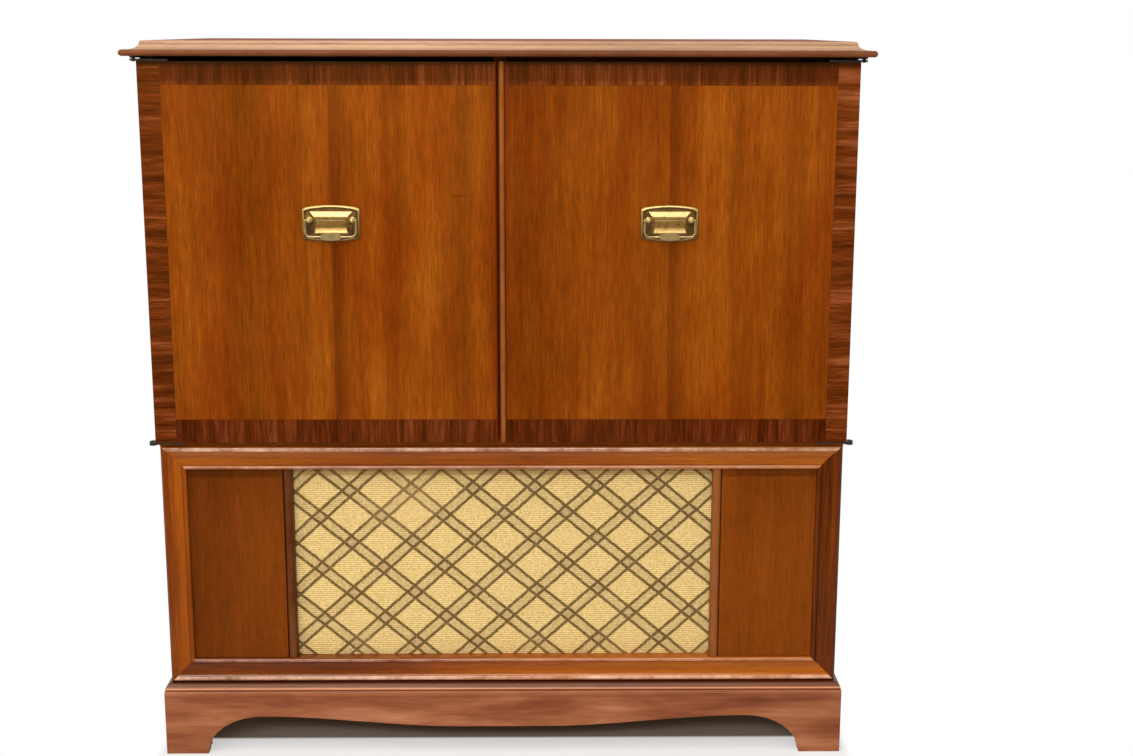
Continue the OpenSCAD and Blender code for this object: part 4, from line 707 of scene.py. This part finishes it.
def makeTop(t):
    nose, edge, foot, head = t["noseRadius"], t["edgeRound"], t["coveFoot"], t["coveHead"]
    lip = t["under"] + 2 * nose
    rise = t["face"] - edge - lip
    # Crests paint the edge: a painted shadow line under the top round, a dark quirk, and a nose darker
    # towards its underside
    section = [(u, z, 0.8) for u, z in arc(head + edge, t["face"] - edge, edge, 90, 180, 8)]
    for i in range(1, 17):
        a = math.radians(90 * i / 16)
        u = foot + (head - foot) * math.cos(a)
        section.append((u, lip + rise * (1 - math.sin(a)), 0.18 if i < 4 else 0.5 - 0.5 * (i / 16) ** 4))
    section += [(foot - 0.4, lip - t["quirk"], 0.0), (nose + 1.6, lip - t["quirk"], 0.0)]
    rounded = arc(nose, t["under"] + nose, nose, 78, 270, 18)
    section += [(u, z, 0.25 + 0.75 * max(0.0, 1 - u / 4.0)) for u, z in rounded]
    shape = Shape()
    w, y0, y1 = t["halfWidth"], t["front"], t["back"]
    shape.mould(section, (-w, y0, 0), (w, y0, 0), (0, 1, 0), (0, 0, 1), (1, 1), 0, caps=(0, 0))
    shape.mould(section, (-w, y1, 0), (-w, y0, 0), (1, 0, 0), (0, 0, 1), (0, 1), 1, caps=(1, 0))
    shape.mould(section, (w, y0, 0), (w, y1, 0), (-1, 0, 0), (0, 0, 1), (1, 0), 1, caps=(0, 1))
    upper, lower = w - section[0][0], w - section[-1][0]
    for x, z, finish in ((upper, t["face"], 2), (lower, t["under"], 0)):
        y = y0 + w - x
        shape.flat([(-x, y1, z), (-x, y, z), (x, y, z), (x, y1, z)], finish)
    corners = ((-upper, t["face"]), (upper, t["face"]), (lower, t["under"]), (-lower, t["under"]))
    shape.flat([(x, y1, z) for x, z in corners])
    shape.build("top.made", ["topMouldingX", "topMouldingY", "topVeneer"], "top_panel")


makeTop(top)

# The moulded frame round the grille, mitred at its corners. Each part of its section is said by how far in
# from the edge and out from the face it lies
grilleFrame = {
    "halfWidth": 480.0, "low": 106.0, "high": 459.0, "front": -195.0, "depth": 21.0, "width": 35.5,
    "roll": (6.0, 5.0), "hollow": (9.6, 28.6, -3.7), "innerBead": (32.2, -4.3, 3.2), "mitreGap": 0.12,
}


def makeGrilleFrame(g):
    crown, r = g["roll"]
    first, last, deep = g["hollow"]
    across, out, s = g["innerBead"]
    # Crests paint the frame: a highlight on the roll's crown and inner bead (shade on the stiles' roll), dark
    # lines in the quirks
    section = [(0, -g["depth"], 0.5), (0, -r - 0.6, 0.5), (0.3, -r - 0.1, 0.6)]
    section += [(u, d, 0.55 + 0.45 * max(0.0, 1 + d / 1.5)) for u, d in arc(crown, -r, r, 172, 48, 14)]
    low = section[-1][1]
    for i in range(1, 15):
        f = i / 14
        section.append((first + (last - first) * f, low + (deep - low) * min(1.0, f * 2.4) ** 0.7, 0.42))
    section.append((last + 0.3, deep - 0.3, 0.0))
    section += [(u, d, 0.4 + 0.34 * max(0.0, (d - out) / s)) for u, d in arc(across, out, s, 155, 0, 12)]
    section.append((g["width"], -g["depth"], 0.3))
    x, z0, z1, y = g["halfWidth"], g["low"], g["high"], g["front"]
    gap = g["mitreGap"]
    shape = Shape()
    ahead = (0, -1, 0)
    shape.mould(section, (-x + gap, y, z0), (x - gap, y, z0), (0, 0, 1), ahead, finish=2)
    shape.mould(section, (x - gap, y, z1), (-x + gap, y, z1), (0, 0, -1), ahead, finish=0)
    shape.mould(section, (-x, y, z1 - gap), (-x, y, z0 + gap), (1, 0, 0), ahead, finish=1)
    shape.mould(section, (x, y, z0 + gap), (x, y, z1 - gap), (-1, 0, 0), ahead, finish=1)
    shape.build("grilleFrame.made", ["frameRail", "frameStile", "frameLowRail"], "lower_frame")


makeGrilleFrame(grilleFrame)

# Half-round beads: two beside the cloth and one on the meeting edge of the right door
grilleBead = {
    "middles": (-303.7, 303.7), "radius": 6.5, "foot": -175.2, "crown": -183.3, "low": 141.7, "high": 423.3,
    "fall": 1,
}
doorBead = {
    "middles": (2.3,), "radius": 4.5, "foot": -195.6, "crown": -212.0, "low": 468.5, "high": 988.5, "fall": 3,
}


def makeBead(b, name, look, stands):
    shape = Shape()
    r = b["radius"]
    for middle in b["middles"]:
        curve = arc(0, b["crown"], r, 0, -180, 20)
        # crest paints a highlight down the bead's front and shade on its flanks
        section = [(x, y, 1.25 * max(0.08, (b["crown"] - y) / r) ** b["fall"]) for x, y in curve]
        section = [(r, b["foot"], 0.1), *section, (-r, b["foot"], 0.1)]
        section = [(middle + x, y, min(crest, 1.0)) for x, y, crest in section]
        shape.mould(section, (0, 0, b["low"]), (0, 0, b["high"]), (1, 0, 0), (0, 1, 0), (0, 0), 0, 4)
    return shape.build(name, [look], stands)


makeBead(grilleBead, "grilleBeads.made", "beadWood", "grille_beads")
ease(makeBead(doorBead, "meetingBead.made", "meetingBeadWood", "right_door_bead"), 0.2)

# The doors: each slab with its crossbands in the finish, and the heads of the pull's bolts inside
doors = {
    "left": {"edges": (-480.0, -5.0), "pull": -228.4},
    "right": {"edges": (6.8, 480.0), "pull": 228.4},
    "front": -215.0, "back": -195.6, "low": 468.5, "high": 988.5, "ease": 0.7,
    "boltHeight": 778.5, "boltGap": 58.0, "boltHead": 3.6,
}


def makeDoor(side, d=doors):
    x0, x1 = d[side]["edges"]
    shape = Shape()
    shape.block((x0, d["front"], d["low"]), (x1, d["back"], d["high"]))
    for face in shape.work.faces:
        face.material_index = int(min(v.co.y for v in face.verts) > (d["back"] - 1) * mm)
    slab = shape.build(side + "Door.made", [side + "DoorVeneer", "doorBackVeneer"], side + "_door")
    ease(slab, d["ease"], 3)
    bolts = Shape()
    r = d["boltHead"]
    profile = [(0, 0.45), (r * 0.6, 0.4), (r * 0.92, 0.2), (r, -0.1), (r, -0.6)]
    for s in (-1, 1):
        x = d[side]["pull"] + s * d["boltGap"] / 2
        bolts.turned(profile, (x, d["back"], d["boltHeight"]), "y", 32)
    bolts.build(side + "DoorBolts", ["screwSteel"], body=side + "_door", slot="screw_steel")


makeDoor("left")
makeDoor("right")

# A pull's plate: a sloped rim, a groove, and a raised tray whose top and lower slopes catch the light
# The rim's rows hold an inset, a depth and a crest, the tray's a depth, a crest and half an outline
# High crests paint a highlight on the tray's top and lower slopes and on the rim's top
pull = {
    "left": -228.4, "right": 228.4, "z": 773.5, "door": -215.0,
    "width": 78.0, "height": 42.2, "rise": 4.0, "clip": 1.6,
    "rim": [
        (0, 0.0, 0.2), (0, 0.9, 0.25), (0.5, 1.6, 0.5), (1.6, 2.6, 0.95), (2.3, 2.8, 1.0), (2.9, 2.4, 0.5),
        (3.3, 1.3, 0.05), (5.6, 1.2, 0.25),
    ],
    "tray": [
        (1.2, 0.0, [(28.9, 16.9), (28.6, 14.2), (24.1, 10.2), (23.2, -14.6)]),
        (2.0, 0.5, [(28.2, 16.4), (27.8, 14.0), (23.9, 10.0), (23.0, -14.2)]),
        (2.1, 1.05, [(27.6, 15.8), (27.2, 13.8), (23.7, 9.9), (22.9, -13.6)]),
        (3.7, 0.85, [(22.4, 9.4), (22.2, 9.1), (22.1, 8.4), (22.0, -12.6)]),
        (3.5, 0.2, [(21.6, 8.8), (21.6, 8.5), (21.6, 8.0), (21.5, -12.0)]),
        (3.4, 1.1, [(21.4, 8.6), (21.4, 8.3), (21.4, 7.8), (21.2, -11.6)]),
        (2.0, 0.3, [(20.9, 6.4), (20.9, 6.0), (20.9, 5.5), (20.8, -7.0)]),
        (1.9, 0.78, [(20.2, 4.9), (20.2, 4.7), (20.2, 4.3), (20.2, -6.2)]),
    ],
    "postGap": 58.0, "postUp": 5.0, "postOut": 7.2, "ball": 3.3, "neck": 2.2, "foot": 4.2,
}


def plateOutline(w, h, rise, clip, steps=16):
    r = (w * w / 4 + rise * rise) / (2 * rise)
    half = math.asin(w / 2 / r)
    upper = [(-w / 2, h / 2 - clip)]
    for i in range(1, steps):
        a = math.pi / 2 + half - 2 * half * i / steps
        upper.append((r * math.cos(a), h / 2 + rise - r + r * math.sin(a)))
    upper.append((w / 2, h / 2 - clip))
    return upper + [(-x, -z) for x, z in upper]


def makePull(side, p=pull):
    shape = Shape()
    rows = []
    for inset, depth, crest in p["rim"]:
        line = plateOutline(p["width"] - 2 * inset, p["height"] - 2 * inset, p["rise"], p["clip"])
        row = []
        for x, z in line:  # painted highlight: the crest fades from the plate's top to its bottom, as if lit from above
            shine = crest * (0.3 + 0.7 * min(1.0, max(0.0, (z + 4) / 20)))
            row.append(shape.point((p[side] + x, p["door"] - depth, p["z"] + z), shine))
        rows.append(row)
    shape.grid(rows, ringed=True)
    shape.face(rows[0][::-1])
    shape.face(rows[-1])
    rows = []
    for depth, crest, half in p["tray"]:
        (x1, z1), (x2, z2) = half[2:]
        line = half[:3] + [(x1 + (x2 - x1) * f, z1 + (z2 - z1) * f) for f in (0.12, 0.88)] + half[3:]
        shine = [crest] * 3 + [crest * 0.5] * 2 + [crest]
        line += [(-x, z) for x, z in reversed(line)]
        row = zip(line, shine + shine[::-1])
        rows.append([shape.point((p[side] + x, p["door"] - depth, p["z"] + z), c) for (x, z), c in row])
    shape.grid(rows, ringed=True)
    shape.face(rows[-1])
    out, foot, neck = p["postOut"], p["foot"], p["neck"]
    ball = arc(0, 0, p["ball"], -90, 90 - math.degrees(math.asin(neck / p["ball"])), 14)
    profile = [(max(r, 0.0), h) for r, h in ball]
    profile += [(neck, out - 3.0), (foot - 0.6, out - 2.2), (foot, out - 1.6), (foot, out + 0.8)]
    for s in (-1, 1):
        centre = (p[side] + s * p["postGap"] / 2, p["door"] - 1.8 - out, p["z"] + p["postUp"])
        # a high crest paints the posts and balls with a highlight
        shape.turned(profile, centre, "y", 32, crest=0.85)
    ease(shape.build(side + "Pull.made", ["agedBrass"], side + "_pull_plate"), 0.12)


makePull("left")
makePull("right")

# The cloth over the baffle, pulled tight but not dead flat
cloth = {
    "halfWidth": 310.2, "low": 141.7, "high": 423.3, "front": -175.2, "columns": 200, "rows": 96,
    "ripple": 0.16, "waves": 6,
}


def makeCloth(c):
    shape = Shape()
    random.seed(5)
    waves = [(random.uniform(20, 60), random.uniform(10, 45), random.uniform(0, 6.3))
             for _ in range(c["waves"])]
    width, height = 2 * c["halfWidth"], c["high"] - c["low"]
    rows = []
    for i in range(c["rows"] + 1):
        z = c["low"] + height * i / c["rows"]
        row = []
        for j in range(c["columns"] + 1):
            x = -c["halfWidth"] + width * j / c["columns"]
            swell = sum(math.sin(x * mm * a + z * mm * b * 3 + p) for a, b, p in waves) / len(waves)
            row.append(shape.point((x, c["front"] + c["ripple"] * (1 + swell), z)))
        rows.append(row)
    shape.grid(rows)
    made = shape.build("grilleCloth.made", ["grilleCloth"], "grille_cloth")


makeCloth(cloth)
print("case front dressed")

# Control knobs: fluted skirts, a dished face and a pale line that points
knobs = {
    "volume": 85.5, "tone": 185.5, "band": 285.5, "tuning": 385.5,
    "z": 822.9, "front": -185.0, "radius": 17.0, "flutes": 28, "shaft": 3.0, "shaftEnd": 44.7,
    "profile": [(0, 1.2), (0.56, 1.2), (0.62, 1.1), (0.68, 0.3), (0.72, 0.05), (0.78, 0.15), (0.84, 0.6),
                (0.89, 1.6), (0.915, 3.5), (0.93, 12), (0.955, 12.6), (0.99, 13.3), (1, 14), (1, 15.6),
                (0.98, 16)],
}


def makeKnob(which, k=knobs):
    def flute(angle, r, h):
        grip = max(0.0, 1 - abs(h - 6.8) / 6) ** 0.3 if 0.8 < r / k["radius"] < 0.96 else 0.0
        return 1 - 0.035 * grip * (0.5 + 0.5 * math.cos(k["flutes"] * angle))

    shape = Shape()
    profile = [(f * k["radius"], h) for f, h in k["profile"]]
    profile += [(k["shaft"], profile[-1][1]), (k["shaft"], k["shaftEnd"]), (0, k["shaftEnd"])]
    x, y, z = k[which], k["front"], k["z"]
    shape.turned(profile, (x, y, z), "y", 168, 0, flute)
    shape.block((x - 0.55, y + 0.7, z + 2.5), (x + 0.55, y + 1.4, z + 9.2), 1)
    shape.build(which + "_knob.made", ["brownBakelite", "creamPaint"], which + "_knob", sharp=40)


for which in ("volume", "tone", "band", "tuning"):
    makeKnob(which)

# Radio tubes: a moulded base, a glass bulb, and the grey plate, mica and silvered patch inside
tubes = {
    "spots": [(-0.4, 0.21), (-0.4, 0.5), (-0.27, 0.68), (-0.115, 0.71), (-0.17, 0.395), (0.03, 0.68)],
    "corner": (235.5, -147.8, 848.9), "span": (350.0, 190.0),
    "base": [(0, 0), (14.4, 0), (15, 0.6), (15, 14.8), (14.4, 15.6), (13.4, 16)],
    "bulb": [(13, 16), (12.9, 22)], "bulge": (19, 52, 24),
    "plate": [(0, 24), (8.6, 24), (8.6, 30), (8.2, 31), (8.2, 39), (8.6, 40), (8.6, 52), (8.2, 53), (8.2, 57),
              (0, 57)],
    "mica": [(0, 58), (13, 58), (13, 58.6), (0, 58.6)],
    "silver": [(0, 75.2), (5, 74.4), (9, 72.2), (11, 70), (10.6, 69.6), (0, 73)],
}


def makeTubes(t):
    shape = Shape()
    r, middle, dome = t["bulge"]
    turns = [math.radians(a) for a in range(-40, 90, 8)]
    bulb = t["bulb"] + [(r * math.cos(a), middle + dome * math.sin(a)) for a in turns] + [(0, middle + dome)]
    x, y, z = t["corner"]
    for across, deep in t["spots"]:
        foot = (x + across * t["span"][0], y + deep * t["span"][1], z)
        for finish, part in enumerate((t["base"], t["plate"], t["mica"], t["silver"], bulb)):
            shape.turned(part, foot, "z", 36, finish)
    looks = ["brownBakelite", "greyEnamel", "micaSheet", "brightPlating", "bulbGlass"]
    shape.build("radioTubes.made", looks, "radio_tubes")


makeTubes(tubes)

# The platter: a turned rim and a flocked mat with rings
platter = {
    "centre": (-281.0, 8.0), "foot": 620.9, "top": 638.9, "radius": 127.0, "inner": 124.0, "web": 2.0,
    "hub": 14.0, "hubFoot": 617.2, "mat": 640.5, "matRadius": 121.9, "bore": 5.15, "rings": 13,
    "ringFirst": 26.0, "ringGap": 7.0,
}


def makePlatter(p):
    shape = Shape()
    centre = (*p["centre"], 0)
    foot, high, r, inner, hub = p["foot"], p["top"], p["radius"], p["inner"], p["hub"]
    bore, wide, mat = p["bore"], p["matRadius"], p["mat"]
    under, low = high - p["web"], high + 0.02
    pan = [
        (bore, p["hubFoot"]), (hub, p["hubFoot"]), (hub, under), (inner, under), (inner, foot + 0.4),
        (inner + 0.4, foot), (r - 0.5, foot), (r, foot + 0.6), (r, foot + 4), (r - 0.6, foot + 4.6),
        (r - 0.6, foot + 5.4), (r, foot + 6), (r, high - 1.8), (r - 0.5, high - 0.6), (r - 1.6, high),
        (wide, high), (bore, high),
    ]
    shape.turned(pan + [pan[0]], centre, "z", 160, 0)
    felt = [(bore, low), (wide, low), (wide, mat - 0.4), (wide - 0.4, mat)]
    for i in reversed(range(p["rings"])):
        ring = p["ringFirst"] + p["ringGap"] * i
        felt += [(ring + 1.2, mat), (ring + 0.5, mat - 0.7), (ring - 0.5, mat - 0.7), (ring - 1.2, mat)]
    felt += [(19, mat), (18.4, mat - 0.8), (bore + 0.2, mat - 0.8), (bore, low)]
    shape.turned(felt, centre, "z", 160, 1)
    shape.build("platter.made", ["maroonEnamel", "flockedMat"], "platter", sharp=40)


makePlatter(platter)

# Dial: rules, ticks and plain numbers printed on the card; side is the way the ticks hang from the rule
dial = {
    "middle": 235.5, "card": -149.0, "ink": 0.12, "reach": 100.0, "ticks": 5,
    "rows": [
        {"rule": 914.0, "side": 1, "textUp": 4.2, "numbers": "6 7 8 9 10 12 14 16 18"},
        {"rule": 897.0, "side": -1, "textUp": -10.2, "numbers": "55 60 70 80 100 120 140 160"},
    ],
    "numberHeight": 7.0, "edgeRules": (932.0, 880.0),
}


def lettering(shape, text, x, y, z, height):
    curve = bpy.data.curves.new("number", "FONT")
    curve.body = text
    curve.size = height * mm * 1.4
    curve.align_x = "CENTER"
    curve.resolution_u = 3
    holder = bpy.data.objects.new("number", curve)
    mesh = holder.to_mesh()
    points = [shape.point((x + v.co.x / mm, y, z + v.co.y / mm)) for v in mesh.vertices]
    for polygon in mesh.polygons:
        shape.face([points[i] for i in polygon.vertices])
    holder.to_mesh_clear()
    bpy.data.objects.remove(holder)
    bpy.data.curves.remove(curve)


def makeDialMarks(d):
    shape = Shape()
    front, reach = d["card"] - d["ink"], d["reach"]

    def bar(x, halfWide, low, high):
        shape.block((x - halfWide, front, low), (x + halfWide, d["card"] - 0.01, high))

    for z in d["edgeRules"]:
        bar(d["middle"], reach + 12, z - 0.35, z + 0.35)
    for row in d["rows"]:
        z, numbers = row["rule"], row["numbers"].split()
        gaps = len(numbers) - 1
        bar(d["middle"], reach, z - 0.3, z + 0.3)
        for i in range(gaps * d["ticks"] + 1):
            tall = 3.4 if i % d["ticks"] == 0 else 1.8
            spot = d["middle"] - reach + 2 * reach * i / (gaps * d["ticks"])
            bar(spot, 0.2, *sorted((z, z - row["side"] * tall)))
        for i, text in enumerate(numbers):
            spot = d["middle"] - reach + 2 * reach * i / gaps
            lettering(shape, text, spot, front, z + row["textUp"], d["numberHeight"])
    shape.build("dialMarks", ["dialInk"], body="cabinet", slot="dial_card")


makeDialMarks(dial)

# Slotted screws that hold the changer's base plate down, and four at the corners of the radio panel
screws = {
    "flat": [(-407.5, -136, 615.9), (-63.5, -136, 615.9), (-407.5, 168, 615.9), (-63.5, 168, 615.9)],
    "upright": [(32, -168.0, 960), (439, -168.0, 960), (32, -168.0, 806), (439, -168.0, 806)],
    "head": 3.6, "rise": 1.5, "slot": 0.45,
}


def makeScrews(d):
    shape = Shape()
    r, h, s = d["head"], d["rise"], d["slot"]
    profile = [(r, -0.2), (r, 0.3), (r * 0.85, h * 0.7), (r * 0.5, h * 0.94), (0, h)]
    reach, deep, proud = r * 0.8, h * 0.6, h + 0.03
    for x, y, z in d["flat"]:
        shape.turned(profile, (x, y, z), "z", 28)
        shape.block((x - reach, y - s, z + deep), (x + reach, y + s, z + proud), 1)
    profile = [(a, -b) for a, b in profile]
    for x, y, z in d["upright"]:
        shape.turned(profile, (x, y, z), "y", 28)
        shape.block((x - s, y - proud, z - reach), (x + s, y - deep, z + reach), 1)
    shape.build("fixingScrews", ["screwSteel", "darkSteel"], body="cabinet", slot="screw_steel")


makeScrews(screws)
print("radio and changer dressed")

# CAD solids that keep their form, by finish, each with the ease of its edges in millimetres
carried = {
    "sideVeneer": {"left_side": 0.8, "right_side": 0.8, "centre_partition": 0.8},
    "shelfVeneer": {"divider_shelf": 0.6, "changer_deck": 0.8, "changer_apron": 0.8, "radio_shelf": 0.8,
                    "radio_panel": 0.6},
    "bareWoodX": {"bottom_board": 0.6, "baffle_board": 0.5, "base_rear_frame": 1.0},
    "bareWoodZ": {"album_dividers": 1.0},
    "panelVeneer": {"grille_side_panels": 0.5},
    "pressedBoard": {"back_panels": 0.4},
    "baseWoodX": {"base_front": 1.4},
    "baseWoodY": {"base_sides": 1.4},
    "brass": {"left_bail": 0.25, "right_bail": 0.25},
    "darkSteel": {"case_door_fittings": 0.2, "left_door_fittings": 0.2, "right_door_fittings": 0.2},
    "crackleEnamel": {"changer_base_plate": 0.8},
    "brightPlating": {"spindle": 0.2, "tonearm_posts": 0.4, "tonearm_yoke": 0.4, "balance_arm": 0.4},
    "blackEnamel": {"drive_motor": 0.6, "power_transformer": 0.6},
    "bezelBrass": {"motor_pulley": 0.3, "dial_bezel": 0.5},
    "blackRubber": {"idler_wheel": 0.4, "cord_grommet": 0.3},
    "brownBakelite": {"tonearm": 1.2, "pickup_head": 0.8, "changer_knob": 0.5},
    "greyEnamel": {"speaker_frame": 0.3, "speaker_magnet": 0.8},
    "conePaper": {"speaker_cone": 0.0},
    "dialGlass": {"dial_glass": 0.3},
    "dialCard": {"dial_scale": 0.2},
    "pointerRed": {"dial_pointer": 0.1},
    "zincPlate": {"radio_chassis": 0.4, "tuning_capacitor": 0.15, "capacitor_rotor": 0.1},
    "screwSteel": {"back_screws": 0.1},
}
for look, solids in carried.items():
    for node, width in solids.items():
        easedCopy(node, look, width)
print("carried solids dressed")

# Floor, background and lamps. The floor's painted shadow and glow are rectangles about the case, by half
# width and depth
white = (1.0, 1.0, 1.0, 1.0)
studio = {
    "floorHalf": 7000.0, "floorHeight": -0.4, "floorTint": (232, 228, 222), "shadeTint": (166, 154, 142),
    "underCase": (470, 150), "nearCase": (489, 212), "floorShine": (0.28, 0.05),
    "worldLight": 0.42, "frontDim": 0.04,
    "lamps": {  # place, height of the aim, size and power
        "hood": ((-0.4, -2.0, 3.0), 0.6, (2.8, 1.2), 34),
        "front": ((-0.5, -3.1, 1.75), 0.6, (2.4, 0.4), 42),
        "left": ((-2.6, -1.9, 1.7), 0.6, (1.2, 1.6), 12),
        "strip": ((-0.2, -1.0, 3.1), 0.4, (2.6, 0.5), 22),
    },
}


def makeFloor(s):
    # Seen directly it glows white away from the case, so that only the shadow under the case shows
    shape = Shape()
    a, z = s["floorHalf"], s["floorHeight"]
    shape.flat([(-a, -a, z), (a, -a, z), (a, a, z), (-a, a, z)])
    mesh = shape.mesh("floor")
    paper = Finish("floorPaper", 0.0)
    x, y, _ = paper.spot()

    def beyond(wide, deep):
        across, along = paper.calc("ABSOLUTE", x), paper.calc("ABSOLUTE", y)
        return paper.most(paper.calc("SUBTRACT", across, wide), paper.calc("SUBTRACT", along, deep))

    under = beyond(*s["underCase"])
    pale = paper.mix(paper.step(paper.noise(3), 0.3, 0.7, (0.0, 0.15)), tint(*s["floorTint"]), white)
    # painted shadow: the floor's own colour is darker under the case
    paper.paint(paper.mix(paper.step(under, -4, 6), tint(*s["shadeTint"]), pale), 0.9)
    ray = paper.add("LightPath").outputs
    seen = paper.most(ray["Is Camera Ray"], ray["Is Glossy Ray"])
    seen = paper.most(seen, ray["Is Transmission Ray"])
    near = paper.step(under, -3, 6, (0.0, 0.5))
    share = paper.most(near, paper.step(beyond(*s["nearCase"]), -10, 20))
    shine = paper.step(y, -700, -1300, [level - 1 for level in s["floorShine"]])
    strength = paper.scaled(ray["Is Glossy Ray"], shine, 1.0)
    glow = paper.add("Emission", {"Color": white, "Strength": strength}).outputs[0]
    inputs = {0: paper.scaled(share, seen), 1: paper.shader.outputs[0], 2: glow}
    blend = paper.add("MixShader", inputs).outputs[0]
    paper.join(blend, paper.tree.nodes["Material Output"].inputs["Surface"])
    mesh.materials.append(finishes["floorPaper"])
    linked("floor", mesh)


def makeWorld(s):
    # White where it is seen, soft as a light, and dim in front for what the lacquer mirrors
    world = bpy.data.worlds.new("world")
    scene.world = world
    world.use_nodes = True
    sky = Nodes(world.node_tree)
    ray = sky.add("LightPath").outputs
    _, y, z = sky.axes(sky.add("TexCoord").outputs["Generated"])
    bright = sky.most(sky.step(y, -0.8, 0.1, (s["frontDim"], 1.0)), sky.step(z, 0.3, 0.75))
    seen = sky.most(ray["Is Camera Ray"], ray["Is Transmission Ray"])
    glossy = sky.add("Mix", {0: ray["Is Glossy Ray"], 2: s["worldLight"], 3: bright}).outputs[0]
    level = sky.add("Mix", {0: seen, 2: glossy, 3: 1.0}).outputs[0]
    back = sky.tree.nodes["Background"]
    sky.join(white, back.inputs["Color"])
    sky.join(level, back.inputs["Strength"])


def makeLamps(s):
    for name, (place, height, size, power) in s["lamps"].items():
        data = bpy.data.lights.new(name, "AREA")
        data.energy = power
        data.shape = "RECTANGLE"
        data.size, data.size_y = size
        made = linked(name, data)
        made.location = place
        aim = Vector((0, -0.2, height)) - made.location
        made.rotation_euler = aim.to_track_quat("-Z", "Y").to_euler()


makeFloor(studio)
makeWorld(studio)
makeLamps(studio)
print("studio lit")
